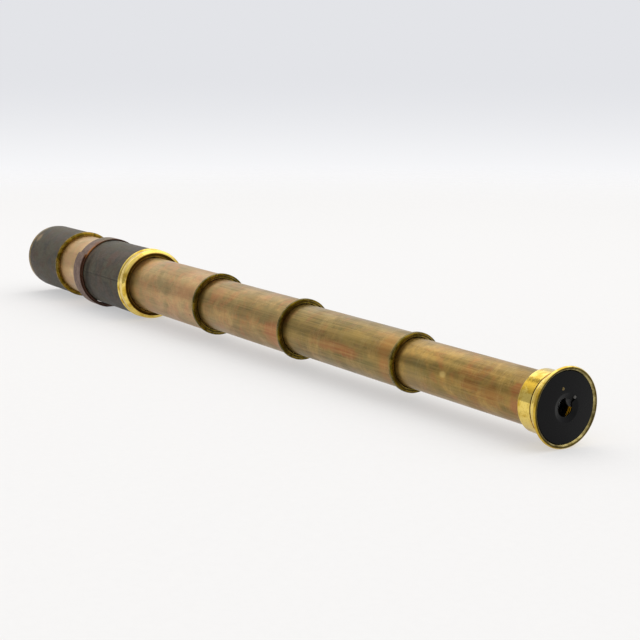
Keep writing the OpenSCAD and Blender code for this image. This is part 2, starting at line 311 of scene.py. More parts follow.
class Stain(Effect):
    """One patch of discolouring round a centre, with a ragged edge."""

    takes = {"Vector": VECTOR, "Centre": VECTOR, "Length": NUMBER, "Width": NUMBER, "Ragged": NUMBER}

    @classmethod
    def wire(cls, graph: Graph, given: bpy.types.NodeOutputs) -> dict[str, Socket]:
        """Measure the distance to the centre in half lengths and widths."""
        size = graph.add("ShaderNodeCombineXYZ", {0: given["Length"], 1: given["Width"], 2: given["Width"]})
        away = graph.vector("SUBTRACT", given["Vector"], given["Centre"]).outputs[0]
        halves = graph.vector("DIVIDE", away, size.outputs[0]).outputs[0]
        distance = graph.vector("LENGTH", halves).outputs["Value"]
        torn = graph.calc("SUBTRACT", graph.noise(given["Vector"], 5.0, 5.0, 0.65, 0.5), 0.5)
        ragged = graph.calc("ADD", distance, graph.calc("MULTIPLY", torn, given["Ragged"]))
        return {"Mask": graph.less(graph.step(ragged, 0.35, 1.1))}


class RingScratches(Effect):
    """Hair-fine scratches round the tube, cut by its neighbour's edge. Pitch is their spacing."""

    takes = {"Vector": VECTOR, "Pitch": NUMBER}

    @classmethod
    def wire(cls, graph: Graph, given: bpy.types.NodeOutputs) -> dict[str, Socket]:
        """Take thin level lines of noise that hardly changes round the axis."""
        size = graph.add("ShaderNodeCombineXYZ", {0: given["Pitch"], 1: 45.0, 2: 45.0}).outputs[0]
        level = graph.calc("ABSOLUTE", graph.calc("SUBTRACT", graph.noise(given["Vector"], size, 3.0, 0.7), 0.5))
        line = graph.less(graph.step(level, 0.004, 0.03))
        broken = graph.step(graph.noise(given["Vector"], 9.0, 2.0), 0.45, 0.6)
        return {"Mask": graph.calc("MULTIPLY", line, broken)}


class EdgeWear(Effect):
    """Bright wear on outer corners and dirt in inner ones, from the mesh's edge attribute."""

    takes = {"Vector": VECTOR, "Amount": NUMBER}
    gives = {"Wear": NUMBER, "Grime": NUMBER}

    @classmethod
    def wire(cls, graph: Graph, given: bpy.types.NodeOutputs) -> dict[str, Socket]:
        """Break the corner mask up with noise, so that wear comes and goes."""
        corner = graph.add("ShaderNodeAttribute", attribute_name=EDGE, attribute_type="GEOMETRY").outputs["Fac"]
        patchy = graph.calc("SUBTRACT", graph.noise(given["Vector"], 3.0, 4.0, 0.6), 0.5)
        worn = graph.step(graph.calc("ADD", corner, patchy), 0.25, 0.85)
        filled = graph.step(graph.calc("SUBTRACT", graph.calc("MULTIPLY", patchy, 0.6), corner), 0.15, 0.7)
        return {"Wear": graph.calc("MULTIPLY", worn, given["Amount"]), "Grime": filled}


class LeatherGrain(Effect):
    """Pebbled grain of hide: the height of its pebbles, and the creases between them."""

    takes = {"Vector": VECTOR, "Size": NUMBER}
    gives = {"Height": NUMBER, "Creases": NUMBER}

    @classmethod
    def wire(cls, graph: Graph, given: bpy.types.NodeOutputs) -> dict[str, Socket]:
        """Use warped cells for the pebbles, with finer noise on top."""
        warp = graph.add("ShaderNodeTexNoise", {"Vector": given["Vector"], "Scale": 0.7, "Detail": 2.0})
        moved = graph.vector("ADD", given["Vector"], warp.outputs["Color"]).outputs[0]
        placed = graph.vector("DIVIDE", moved, graph.triple(given["Size"])).outputs[0]
        cells = graph.add("ShaderNodeTexVoronoi", {"Vector": placed, "Scale": 1.0}, feature="DISTANCE_TO_EDGE")
        pebble = graph.step(cells.outputs["Distance"], 0.0, 0.28)
        fine = graph.noise(given["Vector"], 0.35, 3.0, 0.6)
        height = graph.calc("ADD", graph.calc("MULTIPLY", pebble, 0.75), graph.calc("MULTIPLY", fine, 0.25))
        return {"Height": height, "Creases": graph.less(pebble)}


class Dust(Effect):
    """Specks of dust that lie on upward faces."""

    takes = {"Vector": VECTOR, "Amount": NUMBER}

    @classmethod
    def wire(cls, graph: Graph, given: bpy.types.NodeOutputs) -> dict[str, Socket]:
        """Keep the peaks of fine noise where the surface faces up."""
        normal = graph.add("ShaderNodeNewGeometry").outputs["Normal"]
        upward = graph.step(graph.add("ShaderNodeSeparateXYZ", {0: normal}).outputs["Z"], -0.2, 0.9)
        specks = graph.step(graph.noise(given["Vector"], 0.7, 2.0, 0.8), 0.64, 0.76)
        film = graph.calc("MULTIPLY", graph.noise(given["Vector"], 6.0, 4.0, 0.6), 0.25)
        lying = graph.calc("MULTIPLY", graph.calc("ADD", specks, film, clamp=True), upward)
        return {"Mask": graph.calc("MULTIPLY", lying, given["Amount"])}


# ---------------------------------------------------------------- finishes

DUST_GREY = srgb(170, 165, 155)


@dataclass(frozen=True)
class Finish:
    """A surface finish. Each kind wires its own material."""

    name: str

    def material(self) -> bpy.types.Material:
        """Return the finish's material, and make it the first time."""
        known = bpy.data.materials.get(self.name)
        if known is not None:
            return known
        made = bpy.data.materials.new(self.name)
        made.use_nodes = True
        graph = Graph(made.node_tree)
        shader = graph.add("ShaderNodeBsdfPrincipled")
        graph.add("ShaderNodeOutputMaterial", {"Surface": shader.outputs[0]})
        for socket, value in self.wire(graph).items():
            graph.feed(shader.inputs[socket], value)
        return made

    def wire(self, graph: Graph) -> dict[str, Feed]:
        """Wire the finish.

        Args:
            graph: The material's tree.

        Returns:
            What each socket of the shader is fed, by the socket's name.
        """
        raise NotImplementedError


@dataclass(frozen=True)
class Patch:
    """A discoloured patch on a tube, in millimetres and degrees."""

    x: float
    degrees: float
    radius: float
    length: float
    width: float
    colour: Colour
    strength: float = 1.0
    ragged: float = 1.6

    def lay(self, graph: Graph, place: Socket, under: Socket) -> Socket:
        """Lay the patch over a colour.

        Args:
            graph: The material's tree.
            place: The surface position in millimetres.
            under: The colour below.

        Returns:
            The colour with the patch on it.
        """
        sizes = {"Length": self.length, "Width": self.width, "Ragged": self.ragged}
        centre = around(self.x, self.degrees, self.radius)
        mask = graph.effect(Stain, Vector=place, Centre=centre, **sizes)["Mask"]
        return graph.tint(mask, self.strength, under, self.colour)


ORANGE = srgb(166, 114, 54)
GREENISH = srgb(106, 102, 58)
GOLDEN = srgb(170, 142, 74)
PALE = srgb(214, 184, 110)


@dataclass(frozen=True)
class AgedBrass(Finish):
    """Drawn brass tube with blotchy brown patina, worn streaks and copper-red patches."""

    light: Colour = srgb(160, 130, 82)
    dark: Colour = srgb(122, 99, 56)
    green: Colour = srgb(116, 106, 62)
    red: Colour = srgb(152, 100, 60)
    green_cover: float = 0.5
    red_cover: float = 0.3
    shift: float = 0.0
    patches: tuple[Patch, ...] = ()

    def wire(self, graph: Graph) -> dict[str, Feed]:
        """Lay clouds, streaks, patches and scratches over the base brass."""
        still = graph.surface()
        place = graph.surface(self.shift)
        clouds = graph.effect(Blotches, Vector=place, Size=26.0, Cover=0.5)["Mask"]
        green = graph.effect(Blotches, Vector=graph.surface(self.shift + 70), Size=19.0, Cover=self.green_cover)
        red = graph.effect(Blotches, Vector=graph.surface(self.shift + 140), Size=14.0, Cover=self.red_cover)
        mottle = graph.effect(Blotches, Vector=place, Size=3.2, Cover=0.45)["Mask"]
        streaks = graph.effect(Streaks, Vector=place, Length=60.0, Width=1.1)["Mask"]
        broad = graph.effect(Streaks, Vector=place, Length=36.0, Width=4.5)["Mask"]
        scratches = graph.effect(RingScratches, Vector=place, Pitch=1.1)["Mask"]
        colour = graph.blend(graph.span(clouds, 0.1, 0.9), self.light, self.dark)
        colour = graph.tint(green["Mask"], 0.75, colour, self.green)
        colour = graph.tint(red["Mask"], 0.7, colour, self.red)
        colour = graph.tint(broad, 0.5, colour, self.light)
        colour = graph.tint(mottle, 0.35, colour, self.dark)
        for patch in self.patches:
            colour = patch.lay(graph, still, colour)
        colour = graph.tint(streaks, 0.32, colour, srgb(184, 152, 88))
        colour = graph.tint(scratches, 0.25, colour, srgb(204, 172, 110))
        dirt = graph.effect(EdgeWear, Vector=place, Amount=1.0)["Grime"]
        colour = graph.blend(dirt, colour, srgb(70, 56, 30))
        rough = graph.calc("ADD", graph.span(clouds, 0.34, 0.44), graph.span(streaks, 0.0, -0.05))
        relief = graph.calc("ADD", graph.calc("MULTIPLY", streaks, 0.5), graph.calc("MULTIPLY", mottle, 0.4))
        height = graph.calc("SUBTRACT", relief, graph.calc("MULTIPLY", scratches, 0.8))
        return {
            "Base Color": colour,
            "Metallic": graph.span(graph.calc("MULTIPLY", clouds, mottle), 0.92, 0.7),
            "Roughness": rough,
            "Normal": graph.bump(height, 0.012 * MM),
        }


@dataclass(frozen=True)
class TarnishedBrass(Finish):
    """Dark olive tarnish, rubbed bright along its edges."""

    deep: Colour = srgb(74, 62, 8)
    warm: Colour = srgb(112, 92, 20)
    bright: Colour = srgb(226, 204, 140)
    shift: float = 0.0

    def wire(self, graph: Graph) -> dict[str, Feed]:
        """Cloud the tarnish and rub its corners."""
        place = graph.surface(self.shift)
        clouds = graph.effect(Blotches, Vector=place, Size=6.0, Cover=0.45)["Mask"]
        lines = graph.effect(RingScratches, Vector=place, Pitch=0.5)["Mask"]
        edges = graph.effect(EdgeWear, Vector=place, Amount=0.25)
        colour = graph.blend(clouds, self.deep, self.warm)
        colour = graph.tint(lines, 0.12, colour, self.bright)
        colour = graph.tint(edges["Grime"], 0.6, colour, srgb(34, 28, 8))
        colour = graph.blend(edges["Wear"], colour, self.bright)
        return {
            "Base Color": colour,
            "Metallic": graph.span(edges["Grime"], 1.0, 0.6),
            "Roughness": graph.calc("ADD", graph.span(clouds, 0.22, 0.32), graph.span(edges["Grime"], 0.0, 0.2)),
            "Normal": graph.bump(graph.calc("SUBTRACT", clouds, lines), 0.006 * MM),
        }


@dataclass(frozen=True)
class PolishedBrass(Finish):
    """Bright brass, polished by hands, with faint turning lines and dirt in its grooves.

    Faces that look at the eye are painted dark inside a given radius: painted shade standing in for the dark reflection
    these faces show.
    """

    gold: Colour = srgb(238, 210, 112)
    deep: Colour = srgb(204, 168, 58)
    shaded_radius: float = 0.0
    shift: float = 0.0

    def wire(self, graph: Graph) -> dict[str, Feed]:
        """Vary the polish a little, darken the grooves, and paint shade on the faces that look at the eye."""
        place = graph.surface(self.shift)
        clouds = graph.effect(Blotches, Vector=place, Size=9.0, Cover=0.4)["Mask"]
        pits = graph.effect(Blotches, Vector=place, Size=0.8, Cover=0.05)["Mask"]
        lines = graph.effect(RingScratches, Vector=place, Pitch=0.3)["Mask"]
        edges = graph.effect(EdgeWear, Vector=place, Amount=0.5)
        # Painted shade: inside the given radius, faces that look at the eye are darkened to stand in for their dark
        # reflection.
        across = graph.vector("MULTIPLY", graph.surface(), (0.0, 1.0, 1.0)).outputs[0]
        radius = graph.vector("LENGTH", across).outputs["Value"]
        normal = graph.add("ShaderNodeTexCoord").outputs["Normal"]
        facing = graph.add("ShaderNodeSeparateXYZ", {0: normal}).outputs["X"]
        inside = graph.less(graph.step(radius, self.shaded_radius - 0.35, self.shaded_radius + 0.25))
        painted_face_shade = graph.calc("MULTIPLY", inside, graph.step(facing, 0.2, 0.5))
        colour = graph.blend(clouds, self.gold, self.deep)
        colour = graph.tint(pits, 0.5, colour, srgb(120, 84, 30))
        colour = graph.tint(painted_face_shade, 0.95, colour, srgb(62, 52, 22))
        colour = graph.blend(edges["Grime"], colour, srgb(58, 40, 10))
        colour = graph.blend(edges["Wear"], colour, srgb(250, 232, 160))
        return {
            "Base Color": colour,
            "Metallic": graph.span(edges["Grime"], 1.0, 0.75),
            "Roughness": graph.calc("ADD", graph.span(clouds, 0.1, 0.17), graph.span(edges["Grime"], 0.0, 0.25)),
            "Normal": graph.bump(graph.calc("ADD", lines, clouds), 0.004 * MM),
        }


@dataclass(frozen=True)
class TurnedBrass(Finish):
    """Brass as it comes off the lathe, gone slightly dull inside the telescope."""

    bright: Colour = srgb(216, 184, 104)
    dull: Colour = srgb(166, 132, 66)

    def wire(self, graph: Graph) -> dict[str, Feed]:
        """Cut fine turning lines round the axis."""
        place = graph.surface()
        clouds = graph.effect(Blotches, Vector=place, Size=5.0, Cover=0.5)["Mask"]
        lines = graph.effect(RingScratches, Vector=place, Pitch=0.25)["Mask"]
        return {
            "Base Color": graph.blend(clouds, self.bright, self.dull),
            "Metallic": 1.0,
            "Roughness": graph.span(clouds, 0.24, 0.36),
            "Normal": graph.bump(lines, 0.008 * MM),
        }


@dataclass(frozen=True)
class Blackening(Finish):
    """Chemical black on brass, rubbed to brown where it is touched."""

    black: Colour = srgb(24, 23, 22)
    brown: Colour = srgb(62, 48, 32)

    def wire(self, graph: Graph) -> dict[str, Feed]:
        """Let brown through in small clouds."""
        place = graph.surface()
        rubbed = graph.effect(Blotches, Vector=place, Size=4.0, Cover=0.2)["Mask"]
        return {
            "Base Color": graph.blend(rubbed, self.black, self.brown),
            "Metallic": graph.span(rubbed, 0.1, 0.5),
            "Roughness": graph.span(rubbed, 0.62, 0.45),
            "Normal": graph.bump(graph.noise(place, 0.4, 3.0), 0.01 * MM),
        }


@dataclass(frozen=True)
class Lacquer(Finish):
    """Glossy black lacquer, with swirls from wiping and a little dust."""

    black: Colour = srgb(5, 5, 6)
    shine: float = 0.12

    def wire(self, graph: Graph) -> dict[str, Feed]:
        """Vary the gloss with wiping marks, and rub the corners grey."""
        place = graph.surface()
        wiped = graph.effect(Blotches, Vector=place, Size=6.0, Cover=0.4)["Mask"]
        edges = graph.effect(EdgeWear, Vector=place, Amount=0.6)
        dust = graph.effect(Dust, Vector=place, Amount=0.01)["Mask"]
        colour = graph.blend(edges["Wear"], self.black, srgb(20, 19, 18))
        colour = graph.blend(dust, colour, DUST_GREY)
        return {
            "Base Color": colour,
            "Roughness": graph.span(wiped, 0.2, 0.3),
            "Specular IOR Level": self.shine,
            "Normal": graph.bump(graph.noise(place, 2.5, 3.0), 0.006 * MM),
        }


@dataclass(frozen=True)
class CoverLeather(Finish):
    """Grey-black leather glued round a tube: fine grain, rubbed and dusty with age."""

    dark: Colour = srgb(34, 31, 23)
    grey: Colour = srgb(84, 82, 68)
    brown: Colour = srgb(80, 58, 46)
    patches: tuple[Patch, ...] = ()
    shift: float = 0.0

    def wire(self, graph: Graph) -> dict[str, Feed]:
        """Lay grain, brown clouds, scuffs and patches over the dark hide."""
        still = graph.surface()
        place = graph.surface(self.shift)
        grain = graph.effect(LeatherGrain, Vector=place, Size=0.75)
        clouds = graph.effect(Blotches, Vector=place, Size=17.0, Cover=0.5)["Mask"]
        browned = graph.effect(Blotches, Vector=graph.surface(self.shift + 50), Size=9.0, Cover=0.42)["Mask"]
        scuffs = graph.effect(Streaks, Vector=place, Length=9.0, Width=1.2)["Mask"]
        edges = graph.effect(EdgeWear, Vector=place, Amount=0.8)
        dust = graph.effect(Dust, Vector=place, Amount=0.2)["Mask"]
        colour = graph.blend(clouds, self.dark, self.grey)
        colour = graph.tint(browned, 0.7, colour, self.brown)
        colour = graph.tint(scuffs, 0.2, colour, srgb(108, 103, 90))
        colour = graph.tint(grain["Creases"], 0.5, colour, srgb(22, 19, 15))
        for patch in self.patches:
            colour = patch.lay(graph, still, colour)
        colour = graph.blend(edges["Grime"], colour, srgb(20, 17, 15))
        colour = graph.blend(edges["Wear"], colour, srgb(126, 106, 88))
        colour = graph.blend(dust, colour, DUST_GREY)
        rough = graph.calc("ADD", graph.span(clouds, 0.42, 0.56), graph.span(grain["Creases"], 0.0, 0.12))
        return {
            "Base Color": colour,
            "Roughness": rough,
            "Specular IOR Level": 0.25,
            "Specular Tint": (1.0, 0.88, 0.66, 1.0),
            "Normal": graph.bump(grain["Height"], 0.05 * MM),
        }


@dataclass(frozen=True)
class StrapLeather(Finish):
    """Mauve-brown hide, thick and worn, with dark burnished edges and an amber free end: the waxed edge's own colour,
    with a painted highlight in it.
    """

    face: Colour = srgb(98, 74, 62)
    worn: Colour = srgb(134, 110, 98)
    burnished: Colour = srgb(62, 32, 16)
    patches: tuple[Patch, ...] = ()

    def wire(self, graph: Graph) -> dict[str, Feed]:
        """Lay grain, rubbed clouds and burnished edges over the hide."""
        place = graph.surface()
        grain = graph.effect(LeatherGrain, Vector=place, Size=0.55)
        clouds = graph.effect(Blotches, Vector=place, Size=5.0, Cover=0.5)["Mask"]
        edge = graph.add("ShaderNodeAttribute", attribute_name=EDGE, attribute_type="GEOMETRY").outputs["Fac"]
        uneven = graph.calc("MULTIPLY", graph.calc("SUBTRACT", graph.noise(place, 3.0, 4.0, 0.6), 0.5), 0.5)
        dark = graph.step(graph.calc("ADD", edge, uneven), 0.2, 0.6)
        dust = graph.effect(Dust, Vector=place, Amount=0.25)["Mask"]
        colour = graph.blend(clouds, self.face, self.worn)
        colour = graph.tint(grain["Creases"], 0.4, colour, srgb(66, 46, 38))
        colour = graph.blend(dark, colour, self.burnished)
        for patch in self.patches:
            colour = patch.lay(graph, place, colour)
        colour = graph.blend(dust, colour, DUST_GREY)
        return {
            "Base Color": colour,
            "Roughness": graph.calc("SUBTRACT", graph.span(clouds, 0.5, 0.6), graph.calc("MULTIPLY", dark, 0.26)),
            "Specular IOR Level": 0.35,
            "Specular Tint": (1.0, 0.84, 0.7, 1.0),
            "Normal": graph.bump(grain["Height"], 0.05 * MM),
        }


@dataclass(frozen=True)
class Thread(Finish):
    """Waxed linen thread, darkened with the leather."""

    dark: Colour = srgb(38, 34, 32)
    light: Colour = srgb(74, 68, 62)

    def wire(self, graph: Graph) -> dict[str, Feed]:
        """Lay fine fibres along the thread."""
        place = graph.surface()
        fibres = graph.noise(place, (1.2, 0.12, 0.12), 3.0, 0.7)
        return {
            "Base Color": graph.blend(fibres, self.dark, self.light),
            "Roughness": graph.span(fibres, 0.5, 0.7),
            "Normal": graph.bump(fibres, 0.03 * MM),
        }


@dataclass(frozen=True)
class Glass(Finish):
    """Uncoated optical glass, with a faint bloom of age."""

    def wire(self, graph: Graph) -> dict[str, Feed]:
        """Keep the glass clear and vary only its gloss."""
        bloom = graph.effect(Blotches, Vector=graph.surface(), Size=8.0, Cover=0.3)["Mask"]
        return {
            "Base Color": (0.96, 0.99, 0.97, 1.0),
            "Metallic": 0.0,
            "Transmission Weight": 1.0,
            "IOR": 1.52,
            "Roughness": graph.span(bloom, 0.0, 0.02),
        }


@dataclass(frozen=True)
class Felt(Finish):
    """Dark green wool felt, flattened by sliding."""

    dark: Colour = srgb(36, 46, 30)
    light: Colour = srgb(66, 78, 52)

    def wire(self, graph: Graph) -> dict[str, Feed]:
        """Matt fibres in every direction."""
        fibres = graph.noise(graph.surface(), 0.5, 5.0, 0.75, 1.2)
        return {
            "Base Color": graph.blend(fibres, self.dark, self.light),
            "Roughness": graph.span(fibres, 0.85, 0.98),
            "Normal": graph.bump(fibres, 0.15 * MM),
        }


# ---------------------------------------------------------------- meshes


@dataclass(frozen=True)
class Extent:
    """Where a turned node lies along the axis, and its largest radius."""

    front: float
    back: float
    radius: float

    @classmethod
    def of(cls, node: str) -> "Extent":
        """Read a node's extent from the frame. Front is its objective end."""
        low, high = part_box(node)
        return cls(low.x, high.x, high.z)


def arc(x: float, radius: float, bend: float, start: float, end: float, steps: int = 8) -> list[Point]:
    """List the points of a round stretch of an outline.

    Args:
        x: Place of the arc's centre along the axis.
        radius: Distance of the arc's centre from the axis.
        bend: Radius of the arc itself.
        start: Angle of its first point, from outwards (0) towards the eyepiece (90), in degrees.
        end: Angle of its last point.
        steps: Number of straight steps.

    Returns:
        Points as (x, distance from the axis).
    """
    angles = [math.radians(start + (end - start) * i / steps) for i in range(steps + 1)]
    return [(x + bend * math.sin(t), radius + bend * math.cos(t)) for t in angles]


def rounded(corners: Sequence[Point], bend: float, steps: int = 4) -> list[Point]:
    """Round every corner of a closed outline.

    Args:
        corners: The outline's corners as (x, distance from the axis).
        bend: Radius of the rounding, made smaller where the sides are short.
        steps: Steps of each rounding.

    Returns:
        The rounded outline.
    """
    points: list[Point] = []
    count = len(corners)
    for i, corner in enumerate(corners):
        here = np.array(corner)
        before = np.array(corners[i - 1]) - here
        after = np.array(corners[(i + 1) % count]) - here
        reach = min(bend, 0.45 * np.linalg.norm(before), 0.45 * np.linalg.norm(after))
        first = here + before / np.linalg.norm(before) * reach
        last = here + after / np.linalg.norm(after) * reach
        for t in np.linspace(0, 1, steps + 1):
            spot = (1 - t) ** 2 * first + 2 * t * (1 - t) * here + t**2 * last
            points.append((float(spot[0]), float(spot[1])))
    return points


def ripples(seed: int, size: float, lobes: int) -> Relief:
    """Make a smooth, seeded unevenness over a turned surface.

    Args:
        seed: Seed of the random phases.
        size: Length of the longest ripples along the axis.
        lobes: Most ripples round the axis.

    Returns:
        A function of x and angle that gives values from 0 to 1.
    """
    draw = np.random.default_rng(seed)
    waves = [
        (draw.uniform(0.6, 1.4) * order / size, int(draw.integers(1, lobes + 1)), draw.uniform(0, math.tau), order)
        for order in range(1, 9)
    ]
    total = sum(1 / order for *_, order in waves)

    def height(x: np.ndarray, angle: np.ndarray) -> np.ndarray:
        """Sum the waves at the given places."""
        parts = [np.sin(math.tau * rate * x + n * angle + phase) / order for rate, n, phase, order in waves]
        return 0.5 + 0.5 * sum(parts) / total

    return height


def mesh_object(name: str, points: np.ndarray, faces: list[tuple[int, ...]], edge: np.ndarray) -> bpy.types.Object:
    """Make a smooth, closed mesh object with outward faces.

    Args:
        name: Name of the object.
        points: Its points, one a row.
        faces: Its faces as point numbers.
        edge: For each point, 1 on an outer corner, -1 in an inner one and 0 elsewhere.

    Returns:
        The object, linked to the scene.
    """
    mesh = bpy.data.meshes.new(name)
    mesh.from_pydata(points.tolist(), [], faces)
    shape = bmesh.new()
    shape.from_mesh(mesh)
    bmesh.ops.recalc_face_normals(shape, faces=shape.faces)
    shape.to_mesh(mesh)
    shape.free()
    mesh.shade_smooth()
    mesh.attributes.new(EDGE, "FLOAT", "POINT").data.foreach_set("value", edge.astype(np.float32))
    made = bpy.data.objects.new(name, mesh)
    bpy.context.scene.collection.objects.link(made)
    return made


def grid_faces(rows: int, columns: int, closed_rows: bool = True) -> list[tuple[int, ...]]:
    """List the quads of a grid that closes on itself round its columns.

    Args:
        rows: Number of rows of points.
        columns: Points in each row, the last joined to the first.
        closed_rows: Whether the last row is joined to the first.

    Returns:
        The quads as point numbers.
    """
    last = rows if closed_rows else rows - 1
    faces = []
    for i in range(last):
        a, b = i * columns, (i + 1) % rows * columns
        faces += [(a + j, b + j, b + (j + 1) % columns, a + (j + 1) % columns) for j in range(columns)]
    return faces


@dataclass(frozen=True)
class Lathe:
    """Turns closed outlines about the optical axis."""

    segments: int = 192
    step: float = 2 * MM
    support: float = 0.1 * MM
    wear_reach: float = 0.35 * MM

    def turn(self, name: str, outline: Sequence[Point], relief: Relief | None = None,
             angles: np.ndarray | None = None) -> bpy.types.Object:
        """Turn an outline into a solid ring.

        Args:
            name: Name of the object.
            outline: Closed outline as (x, distance from the axis).
            relief: Change of radius of the faces that look outwards, by x and angle.
            angles: Angles of the columns, if they aren't even.

        Returns:
            The turned object.
        """
        line, outward = self.divide(np.array(outline))
        turn = np.linspace(0, math.tau, self.segments, endpoint=False) if angles is None else angles
        x = np.repeat(line[:, :1], len(turn), axis=1)
        radius = np.repeat(line[:, 1:], len(turn), axis=1)
        angle = np.repeat(turn[None, :], len(line), axis=0)
        if relief is not None:
            radius = radius + relief(x, angle) * outward[:, None]
        points = np.stack([x, -radius * np.cos(angle), radius * np.sin(angle)], axis=-1).reshape(-1, 3)
        edge = np.repeat(self.corners(line), len(turn))
        return mesh_object(name, points, grid_faces(len(line), len(turn)), edge)

    def divide(self, outline: np.ndarray) -> tuple[np.ndarray, np.ndarray]:
        """Cut long sides into steps, with a short one next to each corner.

        Args:
            outline: The closed outline.

        Returns:
            The finer outline, and how far each of its points looks outwards, from 0 to 1.
        """
        following = np.roll(outline, -1, axis=0)
        area = np.sum(outline[:, 0] * following[:, 1] - following[:, 0] * outline[:, 1])
        points, facing = [], []
        for start, end in zip(outline, following):
            side = end - start
            length = np.linalg.norm(side)
            cuts = [0.0]
            if length > 4 * self.support:
                inner = max(1, math.ceil((length - 2 * self.support) / self.step))
                cuts += list(np.linspace(self.support / length, 1 - self.support / length, inner + 1))
            outer = max(0.0, -side[0] * math.copysign(1, area) / length)
            for cut in cuts:
                points.append(start + cut * side)
                facing.append(outer)
        facing = np.array(facing)
        return np.array(points), np.minimum(facing, np.roll(facing, 1))

    def corners(self, line: np.ndarray) -> np.ndarray:
        """Mark outer corners 1 and inner ones -1, fading over a short reach."""
        before, after = line - np.roll(line, 1, axis=0), np.roll(line, -1, axis=0) - line
        cross = before[:, 0] * after[:, 1] - before[:, 1] * after[:, 0]
        turn = np.arctan2(cross, (before * after).sum(axis=1))
        turn *= math.copysign(1, turn.sum())
        sharp = turn / (0.5 * (np.linalg.norm(before, axis=1) + np.linalg.norm(after, axis=1)))
        own = np.clip(sharp * MM / 5, -1, 1)
        apart = np.linalg.norm(line[:, None] - line[None, :], axis=2)
        spread = own[None, :] * np.clip(1 - apart / self.wear_reach, 0, 1)
        return spread.max(axis=1) + spread.min(axis=1)


def sweep(name: str, spines: Sequence[np.ndarray], edges: Sequence[np.ndarray]) -> bpy.types.Object:
    """Join closed, swept strands into one object.

    Args:
        name: Name of the object.
        spines: For each strand, its rows of points: row, point of the section, coordinate.
        edges: For each strand, the edge value of every point.

    Returns:
        The object.
    """
    points, faces, edge, start = [], [], [], 0
    for rows, marks in zip(spines, edges):
        count, columns = rows.shape[:2]
        quads = grid_faces(count, columns, closed_rows=False)
        caps = [tuple(range(columns)), tuple((count - 1) * columns + j for j in reversed(range(columns)))]
        faces += [tuple(start + n for n in face) for face in quads + caps]
        points.append(rows.reshape(-1, 3))
        edge.append(marks.reshape(-1))
        start += count * columns
    return mesh_object(name, np.concatenate(points), faces, np.concatenate(edge))


def place(piece: bpy.types.Object, body: Body, slot: Slot, finish: Finish, *nodes: str) -> bpy.types.Object:
    """Dress a piece, and let it ride on its body in place of its nodes.

    Args:
        piece: The piece.
        body: The body that it rides on.
        slot: Not used; the record's slot that its finish comes from.
        finish: Its finish.
        *nodes: The frame's nodes that it stands for.

    Returns:
        The same piece.
    """
    piece.data.materials.append(finish.material())
    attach(piece, body.value)
    if nodes:
        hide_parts(*nodes)
    LOG.info("%s: %d faces, rides on %s", piece.name, len(piece.data.polygons), body.value)
    return piece


def turned(node: str, outline: Sequence[Point], body: Body, slot: Slot, finish: Finish,
           lathe: Lathe = Lathe(step=1 * MM), relief: Relief | None = None) -> bpy.types.Object:
    """Turn the finished piece of one node, dress it and place it.

    Args:
        node: The frame's node that the piece stands for.
        outline: Its closed outline.
        body: The body that it rides on.
        slot: The record's slot that its finish comes from.
        finish: Its finish.
        lathe: The lathe that turns it.
        relief: Its unevenness, if it has any.

    Returns:
        The piece.
    """
    return place(lathe.turn(f"{node}_finished", outline, relief), body, slot, finish, node)


def plain_tube(node: str, wall: float, body: Body, slot: Slot, finish: Finish,
               relief: Relief | None = None) -> bpy.types.Object:
    """Turn a tube with softly rounded ends.

    Args:
        node: The frame's node that the tube stands for.
        wall: Its wall thickness.
        body: The body that it rides on.
        slot: The record's slot that its finish comes from.
        finish: Its finish.
        relief: Its unevenness, if it has any.

    Returns:
        The tube.
    """
    at = Extent.of(node)
    inner = at.radius - wall
    corners = [(at.back, inner), (at.back, at.radius), (at.front, at.radius), (at.front, inner)]
    return turned(node, rounded(corners, 0.1 * MM), body, slot, finish, Lathe(), relief)


# ---------------------------------------------------------------- draws


@dataclass(frozen=True)
class Draw:
    """A draw tube and the collar on its outer end. Draw 4 has no collar: the eyepiece ends it."""

    number: int
    finish: AgedBrass
    wall: float = 0.6 * MM
    flange: float = 3 * MM
    dent: float = 0.06 * MM

    @property
    def body(self) -> Body:
        """Return the body that the draw is."""
        return Body(f"draw_{self.number}")

    def build(self) -> Iterator[bpy.types.Object]:
        """Build the tube and its collar."""
        yield self.tube()
        if self.number < 4:
            yield self.collar()

    def tube(self) -> bpy.types.Object:
        """Turn the tube, very slightly uneven from years of use."""
        uneven = ripples(self.number, 60 * MM, 4)
        return plain_tube(f"draw_tube_{self.number}", self.wall, self.body, Slot.AGED_BRASS, self.finish,
                          lambda x, angle: -self.dent * uneven(x, angle))

    def collar(self) -> bpy.types.Object:
        """Turn the collar: a round bead, a fine groove, a dished face and a spigot."""
        node = f"draw_collar_{self.number}"
        at = Extent.of(node)
        rim = at.radius
        bore = Extent.of(f"draw_tube_{self.number + 1}").radius + 0.35 * MM
        spigot = Extent.of(f"draw_tube_{self.number}").radius - self.wall - 0.04 * MM
        face, back = at.back, at.back - self.flange
        step = (rim + bore) / 2
        bead = 0.9 * MM
        outline = [
            (face - 1.0 * MM, bore), (face - 0.7 * MM, bore + 0.3 * MM), (face - 0.7 * MM, step - 0.2 * MM),
            (face - 0.15 * MM, step), *arc(face - bead, rim - bead, bead, 90, 0),
            (face - 1.5 * MM, rim), (face - 1.65 * MM, rim - 0.16 * MM), (face - 1.8 * MM, rim),
            (back + 0.3 * MM, rim), (back, rim - 0.3 * MM), (back, spigot), (at.front, spigot), (at.front, bore),
        ]
        return turned(node, outline, self.body, Slot.OLIVE_BRASS, COLLAR_TARNISH)


# ---------------------------------------------------------------- barrel


